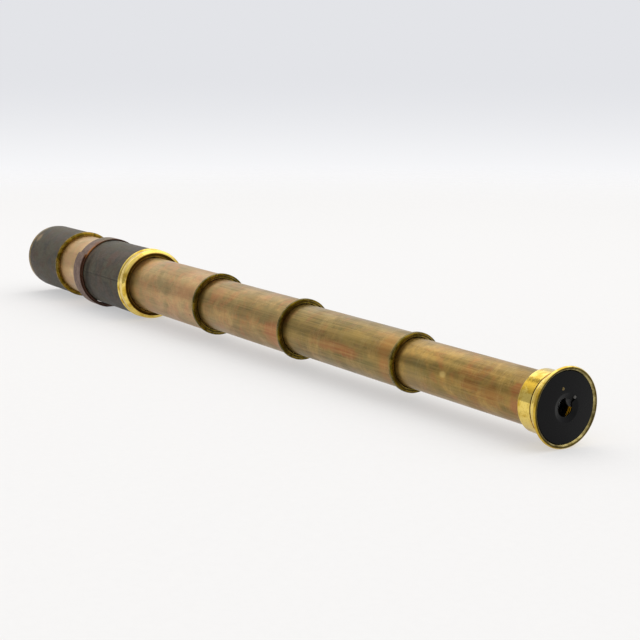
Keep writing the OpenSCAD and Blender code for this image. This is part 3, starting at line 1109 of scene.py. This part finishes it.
@dataclass(frozen=True)
class Barrel:
    """The barrel: brass tube, leather cover with a stitched seam, polished collar and strap."""

    tube_wall: float = 0.8 * MM
    tube_dent: float = 0.05 * MM
    collar_length: float = 10.8 * MM
    seam_angle: float = 6.5
    seam_depth: float = 0.35 * MM
    seam_half: float = 0.3 * MM
    stitch_pitch: float = 3.4 * MM
    stitch_length: float = 2.4 * MM
    thread: float = 0.24 * MM

    def build(self) -> Iterator[bpy.types.Object]:
        """Build the barrel's visible pieces."""
        yield self.tube()
        yield self.collar()
        yield self.leather()
        yield self.stitching()
        yield Strap().build()

    def tube(self) -> bpy.types.Object:
        """Turn the brass tube, bare between the strap and the sunshade."""
        uneven = ripples(5, 50 * MM, 4)
        return plain_tube("barrel_tube", self.tube_wall, Body.BARREL, Slot.BARREL_BRASS, BARE_BARREL,
                          lambda x, angle: -self.tube_dent * uneven(x, angle))

    def collar(self) -> bpy.types.Object:
        """Turn the polished collar: a fine bead, a groove, the main bead and a dished face."""
        at = Extent.of("barrel_collar")
        face, back, rim = at.back, at.back - self.collar_length, at.radius
        bore = Extent.of("draw_tube_1").radius + 0.5 * MM
        spigot = Extent.of("barrel_tube").radius - self.tube_wall - 0.04 * MM
        main, bead = 2.8 * MM, 0.8 * MM
        outline = [
            (face - 1.6 * MM, bore), (face - 1.0 * MM, bore + 0.6 * MM), (face - 0.5 * MM, rim - 3.9 * MM),
            *arc(face - main, rim - 0.3 * MM - main, main, 84, -10, 18), (back + 2.6 * MM, rim - 0.7 * MM),
            (back + 2.2 * MM, rim - 1.2 * MM), (back + 1.8 * MM, rim - 1.2 * MM),
            *arc(back + bead, rim - bead, bead, 60, -60, 10),
            (back, rim - 1.4 * MM), (back, spigot), (at.front, spigot), (at.front, bore),
        ]
        return turned("barrel_collar", outline, Body.BARREL, Slot.POLISHED_BRASS, COLLAR_BRASS)

    def leather(self) -> bpy.types.Object:
        """Wrap the leather round the tube, with a butt seam along its visible side."""
        cover = LeatherCover("barrel_leather", Extent.of("barrel_tube").radius + 0.04 * MM, self.seam_angle, 21)
        piece = cover.wrap(self.seam_depth, self.seam_half)
        return place(piece, Body.BARREL, Slot.DARK_LEATHER, BARREL_HIDE, "barrel_leather")

    def stitching(self) -> bpy.types.Object:
        """Sew the seam: each stitch dips into the leather at both ends."""
        at = Extent.of("barrel_leather")
        count = int((at.back - at.front - 3 * MM) / self.stitch_pitch)
        spines, edges = [], []
        for i in range(count):
            middle = at.front + 2.4 * MM + i * self.stitch_pitch
            lean = math.radians(0.9)
            rows = []
            for t in np.linspace(-1, 1, 9):
                depth = 0.5 * MM - 0.38 * MM * math.sqrt(max(0.0, 1 - t * t))
                girth = self.thread * (1 - 0.35 * t * t)
                turn = math.radians(self.seam_angle) + lean * t
                outward = np.array([0.0, -math.cos(turn), math.sin(turn)])
                sideways = np.array([0.0, math.sin(turn), math.cos(turn)])
                spot = outward * (at.radius - depth) + np.array([middle + t * self.stitch_length / 2, 0, 0])
                ring = np.linspace(0, math.tau, 10, endpoint=False)[:, None]
                rows.append(spot + girth * (np.cos(ring) * sideways + 0.8 * np.sin(ring) * outward))
            spines.append(np.array(rows))
            edges.append(np.zeros((9, 10)))
        piece = sweep("barrel_stitching", spines, edges)
        return place(piece, Body.BARREL, Slot.DARK_LEATHER, SEAM_THREAD)


@dataclass(frozen=True)
class LeatherCover:
    """A leather cover glued round a tube, with turned-down ends and wrinkles."""

    node: str
    inner: float
    seam_angle: float
    seed: int
    bend: float = 0.7 * MM
    wrinkle: float = 0.16 * MM

    def wrap(self, seam_depth: float, seam_half: float) -> bpy.types.Object:
        """Wrap the leather.

        Args:
            seam_depth: Depth of the seam's groove.
            seam_half: Half of the groove's width.

        Returns:
            The cover.
        """
        at = Extent.of(self.node)
        slow, fast = ripples(self.seed, 45 * MM, 3), ripples(self.seed + 1, 16 * MM, 11)
        seam = math.radians(self.seam_angle)

        def relief(x: np.ndarray, angle: np.ndarray) -> np.ndarray:
            """Wrinkle the surface, and raise a soft lip on each side of the seam."""
            away = np.abs((angle - seam + math.pi) % math.tau - math.pi) * at.radius
            groove = np.exp(-((away / seam_half) ** 2))
            lip = np.exp(-(((away - 3 * seam_half) / (1.8 * seam_half)) ** 2))
            low = 0.7 * slow(x, angle) + 0.3 * fast(x, angle)
            return -self.wrinkle * low * (1 - lip) - seam_depth * groove

        even = np.linspace(0, math.tau, 240, endpoint=False)
        close = seam + np.linspace(-1, 1, 33) * 8 * seam_half / at.radius
        clear = np.abs((even - seam + math.pi) % math.tau - math.pi) > 8.5 * seam_half / at.radius
        angles = np.sort(np.concatenate([even[clear], close % math.tau]))
        corners = [(at.back, self.inner), (at.back, at.radius), (at.front, at.radius), (at.front, self.inner)]
        outline = rounded(corners, self.bend, 5)
        return Lathe(step=1 * MM).turn(f"{self.node}_finished", outline, relief, angles)


@dataclass(frozen=True)
class Strap:
    """A leather band round the barrel, double on its near side, where its free end lies over the loop."""

    node: str = "strap"
    thick: float = 1.33 * MM
    layer: float = 1.35 * MM
    loop: float = 28.3 * MM
    sag: float = 0.25 * MM
    end_angle: float = 36.0
    lap: float = 161.0
    ease: float = 24.0
    shift: float = 0.9 * MM
    corner: float = 0.5 * MM
    tongue: float = 1.2 * MM
    rows: int = 440

    def build(self) -> bpy.types.Object:
        """Sweep the band's rounded section from its free end, down and under, round the back and over the top."""
        low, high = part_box(self.node)
        turns = np.linspace(0, 360 + self.lap, self.rows)
        rows, marks = [], []
        for turn in turns:
            section, mark = self.section(turn, (high.x - low.x) / 2)
            rows.append(self.bend_round(section, turn, (high.x + low.x) / 2, low.z))
            marks.append(mark)
        piece = sweep("strap_band", [np.array(rows)], [np.array(marks)])
        return place(piece, Body.BARREL, Slot.STRAP_LEATHER, STRAP_HIDE, self.node)

    def section(self, turn: float, half: float) -> tuple[np.ndarray, np.ndarray]:
        """Draw the band's section at a turn.

        Args:
            turn: Angle along the band from its free end, in degrees.
            half: Half of the band's width.

        Returns:
            Points as (sideways, outwards) from the inner face's middle, and their edge values.
        """
        from_tip = min(math.radians(turn) * self.loop, self.tongue)
        half -= 0.45 * MM + self.tongue - math.sqrt(self.tongue**2 - (self.tongue - from_tip) ** 2)
        bend, middle = self.corner, self.thick / 2
        points, marks = [], []
        for opening, side, top in ((0, 1, 1), (90, -1, 1), (180, -1, -1), (270, 1, -1)):
            centre = np.array([side * (half - bend), middle + top * (middle - bend)])
            for step in range(5):
                angle = math.radians(opening + 22.5 * step)
                points.append(centre + bend * np.array([math.cos(angle), math.sin(angle)]))
                marks.append(1.0)
            if side == top:
                inside = np.linspace(half - bend, -(half - bend), 14)[1:-1] * top
                points += [np.array([spot, middle + top * middle]) for spot in inside]
                marks += list(np.clip(1 - (half - bend - np.abs(inside)) / (1.1 * MM), 0, 1))
        return np.array(points), np.array(marks)

    def bend_round(self, section: np.ndarray, turn: float, middle: float, floor: float) -> np.ndarray:
        """Carry a section to its place round the barrel.

        Args:
            section: Points as (sideways, outwards).
            turn: Angle along the band from its free end, in degrees.
            middle: Place of the band's middle along the axis.
            floor: Height of the surface that the band is pressed against.

        Returns:
            The section's points.
        """
        eased = np.clip((turn - self.lap - 6) / self.ease, 0, 1)
        under = eased * eased * (3 - 2 * eased)
        angle = math.radians(self.end_angle - turn)
        radius = self.loop + (1 - under) * self.layer + section[:, 1]
        height = radius * math.sin(angle) - self.sag
        height = np.maximum(height, floor + (self.thick - section[:, 1]) * (1 - under))
        x = middle + section[:, 0] + self.shift * (under - 0.5)
        return np.stack([x, -radius * math.cos(angle), height], axis=-1)


# ---------------------------------------------------------------- sunshade


@dataclass(frozen=True)
class Sunshade:
    """The sliding sunshade: tube, leather cover, tarnished rear ring and front ring."""

    wall: float = 0.9 * MM
    gap: float = 0.04 * MM
    running: float = 0.1 * MM

    def build(self) -> Iterator[bpy.types.Object]:
        """Build the sunshade's visible pieces."""
        yield self.tube()
        yield self.leather()
        yield self.rear_ring()
        yield self.front_ring()

    def tube(self) -> bpy.types.Object:
        """Turn the tube, whose inside shows at the mouth."""
        return plain_tube("sunshade_tube", self.wall, Body.SUNSHADE, Slot.BARREL_BRASS, BARE_BARREL)

    def leather(self) -> bpy.types.Object:
        """Wrap the leather, with its seam turned to the underside."""
        cover = LeatherCover("sunshade_leather", Extent.of("sunshade_tube").radius + self.gap, 228.0, 31)
        piece = cover.wrap(0.3 * MM, 0.3 * MM)
        return place(piece, Body.SUNSHADE, Slot.DARK_LEATHER, SHADE_HIDE, "sunshade_leather")

    def rear_ring(self) -> bpy.types.Object:
        """Turn the rear ring: a bold bead that meets the leather."""
        at = Extent.of("sunshade_rear_ring")
        shell = Extent.of("sunshade_tube").radius + self.gap
        slide = Extent.of("barrel_tube").radius + self.running
        bead = 2.2 * MM
        outline = [
            (at.back - 0.3 * MM, slide), (at.back, slide + 0.5 * MM),
            *arc(at.back - bead, at.radius - bead, bead, 80, -70, 14),
            (at.back - 4.5 * MM, shell), (at.back - 3.4 * MM, shell), (at.back - 3.4 * MM, slide),
        ]
        return turned("sunshade_rear_ring", outline, Body.SUNSHADE, Slot.OLIVE_BRASS, RING_TARNISH)

    def front_ring(self) -> bpy.types.Object:
        """Turn the plain front ring with its rolled rim."""
        at = Extent.of("sunshade_front_ring")
        shell = Extent.of("sunshade_tube").radius + self.gap
        inside = Extent.of("sunshade_tube").radius - self.wall
        outline = rounded([
            (at.back, shell), (at.back, at.radius), (at.front, at.radius),
            (at.front, inside), (at.front + 1.4 * MM, inside), (at.front + 1.4 * MM, shell),
        ], 0.45 * MM, 6)
        return turned("sunshade_front_ring", outline, Body.SUNSHADE, Slot.OLIVE_BRASS, RING_TARNISH)


# ---------------------------------------------------------------- eyepiece


@dataclass(frozen=True)
class Eyepiece:
    """The eyepiece: polished band, flared cup, black disc with its shutter slot, and the pivot's rivet."""

    pivot: tuple[float, float] = (-2.62 * MM, 10.31 * MM)
    knob: tuple[float, float] = (5.71 * MM, 5.0 * MM)
    swing: float = 43.0
    slot_half: float = 1.15 * MM
    hole: float = 5.0 * MM
    funnel: float = 8.2 * MM
    seat: float = 2.0 * MM
    dish_curve: float = 220 * MM

    def build(self) -> Iterator[bpy.types.Object]:
        """Build the eyepiece's visible pieces."""
        yield self.band()
        yield self.cup()
        yield self.dish()
        yield self.rivet()

    @property
    def rim(self) -> float:
        """Return the place of the cup's rim along the axis."""
        return Extent.of("eyecup").back

    def band(self) -> bpy.types.Object:
        """Turn the band that screws on draw 4."""
        at = Extent.of("eyepiece_band")
        thread, tube = 16.34 * MM, Extent.of("draw_tube_4").radius + 0.04 * MM
        ocular = Extent.of("draw_tube_4").radius - 4.76 * MM
        seat, web = at.back - 5.4 * MM, at.back - 4.2 * MM
        steps = 5
        corners = [(at.back, at.radius), (at.front, at.radius), (at.front, tube)]
        outer_corners = rounded(corners, 0.3 * MM, steps)[:2 * (steps + 1)]
        outline = [(at.back, thread), *outer_corners, (at.front, tube), (seat, tube), (seat, ocular),
                   (web, ocular), (web, thread)]
        return turned("eyepiece_band", outline, Body.DRAW_4, Slot.POLISHED_BRASS, BAND_BRASS)

    def cup(self) -> bpy.types.Object:
        """Turn the flared cup: a rounded lip, the flare, a groove behind it and the dish's seat."""
        at = Extent.of("eyecup")
        rim, lip, band = at.back, 1.1 * MM, Extent.of("eyepiece_band").radius
        flare, thread, seat = 5 * MM, 16.3 * MM, rim - self.seat
        room = rim - 3.05 * MM
        outline = [
            (rim - 1.3 * MM, at.radius - 2.6 * MM), (rim - 0.35 * MM, at.radius - 1.9 * MM),
            *arc(rim - lip, at.radius - lip, lip, 110, -60, 14),
            *reversed(arc(rim - 7.4 * MM, band + 0.2 * MM + flare, flare, 180, 117, 12)),
            (rim - 8.25 * MM, band), (rim - 8.25 * MM, thread + 0.6 * MM), (rim - 8.75 * MM, thread + 0.6 * MM),
            (rim - 8.75 * MM, thread), (rim - 12.8 * MM, thread), (rim - 12.8 * MM, 15.4 * MM), (room, 15.4 * MM),
            (room, 16.7 * MM), (rim - 2.4 * MM, 16.7 * MM), (seat, at.radius - 3.3 * MM), (seat, at.radius - 2.6 * MM),
        ]
        return turned("eyecup", outline, Body.DRAW_4, Slot.POLISHED_BRASS, CUP_BRASS, Lathe(224, 1 * MM))

    def depth(self, radius: float) -> float:
        """Return how deep the domed disc lies behind the rim at a distance from the axis."""
        return 0.05 * MM + self.dish_curve - math.sqrt(self.dish_curve**2 - radius**2)

    def dish(self) -> bpy.types.Object:
        """Turn the black disc with its funnelled eye hole, and cut the slot that the knob travels in."""
        at = Extent.of("eye_dish")
        face = [(self.rim - self.depth(r), r) for r in np.linspace(at.radius, self.funnel + 0.3 * MM, 22)]
        lip = [(self.rim - self.depth(self.funnel) - 0.03 * MM, self.funnel)]
        funnel = [(self.rim - 0.15 * MM - 1.15 * MM * t, self.funnel - (self.funnel - self.hole) * t)
                  for t in np.linspace(0.08, 0.97, 6)]
        outline = [*face, *lip, *funnel, (self.rim - 1.4 * MM, self.hole), (at.front, self.hole), (at.front, at.radius)]
        piece = Lathe(segments=224, step=0.8 * MM).turn("eye_dish_finished", outline)
        self.cut(piece, self.slot_cutter())
        return place(piece, Body.DRAW_4, Slot.BLACK_LACQUER, DISH_LACQUER, "eye_dish")

    def slot_cutter(self) -> bpy.types.Object:
        """Build the slot's solid: round ends joined by an arc about the pivot."""
        arm = Vector(self.knob) - Vector(self.pivot)
        reach, start = arm.length, math.atan2(arm.y, arm.x)
        steps, half = 20, self.slot_half
        turn = [start - math.radians(self.swing) * i / steps for i in range(steps + 1)]
        caps = np.linspace(0, math.pi, 9)[1:-1]
        loop = [(reach + half, t) for t in turn]
        flat = [(math.cos(t) * r, math.sin(t) * r) for r, t in loop]
        flat += [self.cap(reach, turn[-1], -a) for a in caps]
        flat += [(math.cos(t) * (reach - half), math.sin(t) * (reach - half)) for t in reversed(turn)]
        flat += [self.cap(reach, turn[0], math.pi - a) for a in caps]
        ring = np.array(flat) + np.array(self.pivot)
        rows = [np.stack([np.full(len(ring), x), ring[:, 0], ring[:, 1]], axis=-1)
                for x in (self.rim + 2 * MM, self.rim - 9 * MM)]
        return sweep("slot_cutter", [np.array(rows)], [np.zeros((2, len(ring)))])

    def cap(self, reach: float, turn: float, angle: float) -> Point:
        """Return a point of the round end at a turn, at an angle from the outward direction."""
        centre = (math.cos(turn) * reach, math.sin(turn) * reach)
        around_end = turn + angle
        return (centre[0] + self.slot_half * math.cos(around_end), centre[1] + self.slot_half * math.sin(around_end))

    def cut(self, piece: bpy.types.Object, cutter: bpy.types.Object) -> None:
        """Cut the cutter out of the piece for good, and remove it."""
        boolean = piece.modifiers.new("slot", "BOOLEAN")
        boolean.operation, boolean.solver, boolean.object = "DIFFERENCE", "EXACT", cutter
        graph = bpy.context.evaluated_depsgraph_get()
        cut = bpy.data.meshes.new_from_object(piece.evaluated_get(graph))
        piece.modifiers.clear()
        piece.data = cut
        bpy.data.objects.remove(cutter)

    def rivet(self) -> bpy.types.Object:
        """Turn the shutter's pivot pin: a domed head on the disc, the pin, and the head behind the shutter."""
        low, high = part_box("shutter_pin")
        middle = (low + high) / 2
        head = (high.z - low.z) / 2
        surface = self.rim - self.depth(Vector(self.pivot).length)
        pin, start = 0.9 * MM, low.x + 0.4 * MM
        profile = [(surface + 0.27 * MM, 0.2 * MM), (surface + 0.2 * MM, 0.55 * MM), (surface + 0.02 * MM, 0.85 * MM),
                   (surface - 0.3 * MM, pin), (start, pin), (start, head), (low.x + 0.1 * MM, head),
                   (low.x, head - 0.1 * MM)]
        ring = np.linspace(0, math.tau, 32, endpoint=False)
        rows = [np.stack([np.full(32, x), middle.y + r * np.cos(ring), middle.z + r * np.sin(ring)], axis=-1)
                for x, r in profile]
        piece = sweep("shutter_pivot_rivet", [np.array(rows)], [np.zeros((len(profile), 32))])
        return place(piece, Body.DRAW_4, Slot.MACHINED_BRASS, RIVET_BRASS, "shutter_pin")


# ---------------------------------------------------------------- inner works


@dataclass(frozen=True)
class InnerWorks:
    """Pieces whose shape is right in the frame, and which only need their finish."""

    dressed: tuple[tuple[Finish, tuple[str, ...]], ...] = (
        (TurnedBrass("turned_brass"), (
            "barrel_sleeve", "draw_sleeve_1", "draw_sleeve_2", "draw_sleeve_3", "stop_ring_1", "stop_ring_2",
            "stop_ring_3", "stop_ring_4", "objective_cell", "lens_retaining_ring", "lens_spacer", "erector_tube",
            "erector_lens_rings", "field_lens_ring",
        )),
        (Blackening("sooty_brass"), (
            "barrel_glare_stop", "draw_glare_stop", "erector_stop", "field_stop", "eye_lens_ring", "eye_shutter",
            "eyepiece_tube",
        )),
        (Glass("lens_glass"), (
            "crown_lens", "flint_lens", "rear_erector_lens", "front_erector_lens", "eye_lens", "field_lens",
        )),
        (Lacquer("worn_lacquer", srgb(60, 58, 54), 0.5), ("shutter_knob",)),
        (Felt("wool_felt"), ("sunshade_felt",)),
    )

    def build(self) -> Iterator[bpy.types.Object]:
        """Dress the frame's own nodes through their material slots."""
        for finish, nodes in self.dressed:
            for name in nodes:
                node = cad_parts[name]
                node.data.materials.clear()
                node.data.materials.append(finish.material())
                LOG.info("%s: dressed in %s", name, finish.name)
                yield node


# ---------------------------------------------------------------- finishes of this telescope


def node_x(station: float) -> float:
    """Turn a distance from the eyepiece rim in millimetres into a place along X in millimetres."""
    return Extent.of("eyecup").back / MM - station


DRAW_FINISHES = (
    AgedBrass("draw_1_brass", light=srgb(194, 158, 106), dark=srgb(138, 112, 68), green=srgb(124, 116, 72),
              red=srgb(182, 122, 80), green_cover=0.45, red_cover=0.45, shift=11.0, patches=(
        Patch(node_x(424), 18, 22.1, 12, 7, GREENISH, 0.5),
        Patch(node_x(392), 24, 22.1, 16, 9, srgb(182, 122, 78), 0.55),
        Patch(node_x(385), -21, 22.1, 1.4, 0.8, srgb(100, 60, 34), 0.9, 0.6),
    )),
    AgedBrass("draw_2_brass", light=srgb(176, 142, 84), dark=srgb(122, 98, 52), green=srgb(114, 104, 56),
              red=srgb(170, 108, 62), green_cover=0.5, red_cover=0.3, shift=23.0, patches=(
        Patch(node_x(268), -8, 19.2, 13, 12, srgb(170, 104, 62), 0.7),
        Patch(node_x(262), -38, 19.2, 9, 9, srgb(166, 108, 66), 0.6),
        Patch(node_x(276), 30, 19.2, 16, 8, GREENISH, 0.5),
        Patch(node_x(352), 40, 19.2, 10, 8, srgb(170, 112, 70), 0.5),
    )),
    AgedBrass("draw_3_brass", light=srgb(168, 137, 74), dark=srgb(106, 86, 42), green=srgb(104, 96, 48),
              red=srgb(148, 98, 56), green_cover=0.7, red_cover=0.2, shift=37.0, patches=(
        Patch(node_x(192), 2, 17.3, 24, 5, srgb(150, 94, 50), 0.75),
        Patch(node_x(176), -2, 17.3, 16, 4.5, srgb(148, 90, 44), 0.7),
        Patch(node_x(172), 32, 17.3, 26, 6, GOLDEN, 0.5),
        Patch(node_x(140), 30, 17.3, 9, 14, ORANGE, 0.65),
        Patch(node_x(139), -18, 17.3, 7, 14, srgb(164, 112, 60), 0.6),
        Patch(node_x(160), -10, 17.3, 12, 6, GREENISH, 0.5),
    )),
    AgedBrass("draw_4_brass", light=srgb(180, 144, 74), dark=srgb(114, 90, 42), green=srgb(108, 96, 46),
              red=srgb(160, 98, 52), green_cover=0.45, red_cover=0.25, shift=53.0, patches=(
        Patch(node_x(110), 6, 15.3, 16, 9, GREENISH, 0.6),
        Patch(node_x(112), -24, 15.3, 14, 9, srgb(136, 116, 76), 0.6),
        Patch(node_x(85), 12, 15.3, 3.4, 2.2, PALE, 0.95, 0.5),
        Patch(node_x(60), 6, 15.3, 12, 4.5, srgb(136, 84, 40), 0.7),
        Patch(node_x(42), 2, 15.3, 12, 5, srgb(132, 82, 36), 0.7),
        Patch(node_x(24), 26, 15.3, 6, 5, srgb(164, 98, 56), 0.75),
        Patch(node_x(23), -8, 15.3, 5, 7, srgb(158, 92, 58), 0.7),
    )),
)

BARE_BARREL = AgedBrass("bare_barrel_brass", light=srgb(208, 172, 122), dark=srgb(172, 136, 92),
                        green=srgb(154, 142, 100), red=srgb(190, 144, 106), green_cover=0.35, red_cover=0.4,
                        shift=71.0)

BARREL_HIDE = CoverLeather("barrel_hide", shift=5.0, patches=(
    # Painted shadow: a dark band on the leather beside the strap, on its eyepiece side, where the strap shades it.
    Patch(node_x(565), -10, 28.0, 5.0, 34, srgb(26, 22, 15), 0.85, 0.8),
    Patch(node_x(527), 46, 28.0, 9.0, 10, srgb(84, 56, 46), 0.6),
))

SHADE_HIDE = CoverLeather("sunshade_hide", shift=29.0, patches=(
    Patch(node_x(694), 44, 28.9, 4.5, 6, srgb(150, 126, 92), 0.7),
))

STRAP_HIDE = StrapLeather("strap_hide", patches=(
    # Amber patches on the free end: the waxed edge's own colour, with a painted highlight where the edge shines.
    Patch(node_x(572.5), 46, 30.0, 3.2, 9, srgb(150, 92, 34), 0.85, 0.9),
    Patch(node_x(575), 66, 30.0, 3.6, 9, srgb(120, 72, 30), 0.7, 0.9),
    Patch(node_x(580), 82, 29.5, 9.0, 9, srgb(92, 84, 56), 0.7, 1.2),
))

COLLAR_TARNISH = TarnishedBrass("tarnished_brass")
RING_TARNISH = TarnishedBrass("warm_tarnished_brass", srgb(92, 74, 12), srgb(132, 104, 28), shift=40.0)
# The radius given to the collar and the eyecup bounds the painted shade on their eye-facing faces.
COLLAR_BRASS = PolishedBrass("collar_brass", shaded_radius=25.9)
BAND_BRASS = PolishedBrass("band_brass")
CUP_BRASS = PolishedBrass("eyecup_brass", shaded_radius=21.55, shift=13.0)
RIVET_BRASS = TurnedBrass("rivet_brass", srgb(150, 132, 88), srgb(90, 76, 44))
DISH_LACQUER = Lacquer("dish_lacquer")
SEAM_THREAD = Thread("waxed_thread")


# ---------------------------------------------------------------- studio


@dataclass(frozen=True)
class Sweep(Finish):
    """White paper, lit from below as well. It fades into the backdrop far away."""

    glow: float = 0.5
    near: float = 1.1
    far: float = 2.7

    def material(self) -> bpy.types.Material:
        """Mix the paper with transparency by distance from the origin."""
        made = bpy.data.materials.new(self.name)
        made.use_nodes = True
        graph = Graph(made.node_tree)
        position = graph.add("ShaderNodeTexCoord").outputs["Object"]
        distance = graph.vector("LENGTH", position).outputs["Value"]
        fibres = graph.noise(position, 0.004, 4.0, 0.6)
        matt = graph.add("ShaderNodeBsdfDiffuse", {
            "Color": graph.blend(fibres, srgb(163, 162, 162), srgb(168, 167, 167)),
        })
        lit = graph.add("ShaderNodeEmission", {"Color": srgb(246, 246, 247), "Strength": self.glow})
        paper = graph.add("ShaderNodeAddShader", {0: matt.outputs[0], 1: lit.outputs[0]})
        clear = graph.add("ShaderNodeBsdfTransparent")
        fade = graph.step(distance, self.near, self.far)
        mixed = graph.add("ShaderNodeMixShader", {0: fade, 1: paper.outputs[0], 2: clear.outputs[0]})
        graph.add("ShaderNodeOutputMaterial", {"Surface": mixed.outputs[0]})
        return made


@dataclass(frozen=True)
class Softbox:
    """A soft light that looks at a point."""

    name: str
    position: tuple[float, float, float]
    target: tuple[float, float, float]
    size: tuple[float, float]
    watts: float

    def build(self) -> None:
        """Add the light, hidden from the camera and from sharp reflections."""
        light = bpy.data.lights.new(self.name, "AREA")
        light.shape, light.energy = "RECTANGLE", self.watts
        light.size, light.size_y = self.size
        lamp = bpy.data.objects.new(self.name, light)
        lamp.location = self.position
        aim = Vector(self.target) - Vector(self.position)
        lamp.rotation_euler = aim.to_track_quat("-Z", "Y").to_euler()
        lamp.visible_camera = False
        lamp.visible_glossy = False
        bpy.context.scene.collection.objects.link(lamp)


@dataclass(frozen=True)
class Studio:
    """White floor and backdrop, soft light from above, and a dim room on the camera's side."""

    azimuth: float = 57.27
    elevation: float = 10.16
    roll: float = 0.465
    position: tuple[float, float, float] = (1.01856, -0.46181, 0.16254)
    focal: float = 73.5
    floor_radius: float = 3.6

    def build(self) -> None:
        """Build the floor, the lights, the room and the camera."""
        self.floor()
        self.room()
        self.camera()
        for box in (
            Softbox("overhead", (-0.1, 0.5, 1.3), (0.1, 0.0, 0.0), (1.4, 1.1), 1.6),
            Softbox("front_key", (-0.7, -0.8, 0.85), (0.1, 0.0, 0.0), (1.1, 0.8), 1.2),
        ):
            box.build()
        bpy.context.scene.view_settings.view_transform = "Standard"

    def floor(self) -> None:
        """Lay a round floor that touches the strap's foot and the eyecup's lip."""
        strap_low, strap_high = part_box("strap")
        cup_low, cup_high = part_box("eyecup")
        start, end = (strap_low.x + strap_high.x) / 2, cup_high.x - 1.1 * MM
        slope = (cup_low.z - strap_low.z) / (end - start)
        ring = [math.tau * i / 96 for i in range(96)]
        flat = [(self.floor_radius * math.cos(t), self.floor_radius * math.sin(t)) for t in ring]
        mesh = bpy.data.meshes.new("floor")
        points = [(x, y, strap_low.z + slope * (x - start) - 0.05 * MM) for x, y in flat]
        mesh.from_pydata(points, [], [tuple(range(len(points)))])
        mesh.materials.append(Sweep("white_paper").material())
        floor = bpy.data.objects.new("floor", mesh)
        bpy.context.scene.collection.objects.link(floor)

    def room(self) -> None:
        """Light the room: a pale backdrop to look at, and a dim side for reflections."""
        world = bpy.data.worlds.new("room")
        world.use_nodes = True
        bpy.context.scene.world = world
        graph = Graph(world.node_tree)
        direction = graph.add("ShaderNodeTexCoord").outputs["Generated"]
        height = graph.add("ShaderNodeSeparateXYZ", {0: direction}).outputs["Z"]
        seen = graph.blend(graph.step(height, -0.1, 0.01), srgb(254, 254, 255), srgb(227, 228, 232))
        dim = graph.vector("DOT_PRODUCT", direction, (0.25, -0.96, 0.1)).outputs["Value"]
        beam = graph.vector("DOT_PRODUCT", direction, (-0.716, -0.101, 0.691)).outputs["Value"]
        stripe = graph.step(beam, 0.989, 0.996)
        shade = graph.calc("MAXIMUM", graph.span(graph.step(dim, 0.0, 0.5), 0.0, 0.6), graph.span(stripe, 0.0, 0.85))
        above = graph.step(height, 0.3, 0.6)
        bright = graph.blend(above, (0.8, 0.8, 0.82, 1.0), (1.7, 1.68, 1.62, 1.0))
        felt_light = graph.blend(shade, bright, (0.22, 0.22, 0.22, 1.0))
        to_camera = graph.add("ShaderNodeLightPath").outputs["Is Camera Ray"]
        colour = graph.blend(to_camera, felt_light, seen)
        background = graph.add("ShaderNodeBackground", {"Color": colour, "Strength": 1.0})
        graph.add("ShaderNodeOutputWorld", {"Surface": background.outputs[0]})

    def camera(self) -> None:
        """Place the camera by its heading, dip and roll."""
        turn, dip, roll = (math.radians(a) for a in (self.azimuth, self.elevation, self.roll))
        forward = Vector((-math.sin(turn) * math.cos(dip), math.cos(turn) * math.cos(dip), -math.sin(dip)))
        level = Vector((math.cos(turn), math.sin(turn), 0.0))
        right = level * math.cos(roll) + level.cross(forward) * math.sin(roll)
        up = right.cross(forward)
        data = bpy.data.cameras.new("camera")
        data.lens, data.sensor_width = self.focal, 36.0
        data.clip_start, data.clip_end = 0.05, 20.0
        camera = bpy.data.objects.new("camera", data)
        turned = Matrix((right, up, -forward)).transposed().to_4x4()
        camera.matrix_world = Matrix.Translation(self.position) @ turned
        bpy.context.scene.collection.objects.link(camera)
        bpy.context.scene.camera = camera


def main() -> None:
    """Build every sub-assembly in order."""
    logging.basicConfig(level=logging.INFO, format="%(message)s")
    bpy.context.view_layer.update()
    Studio().build()
    draws = [Draw(number, finish) for number, finish in enumerate(DRAW_FINISHES, 1)]
    for assembly in (Eyepiece(), *draws, Barrel(), Sunshade(), InnerWorks()):
        pieces = list(assembly.build())
        LOG.info("%s: %d pieces", type(assembly).__name__, len(pieces))
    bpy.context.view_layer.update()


if __name__ == "__main__":
    main()
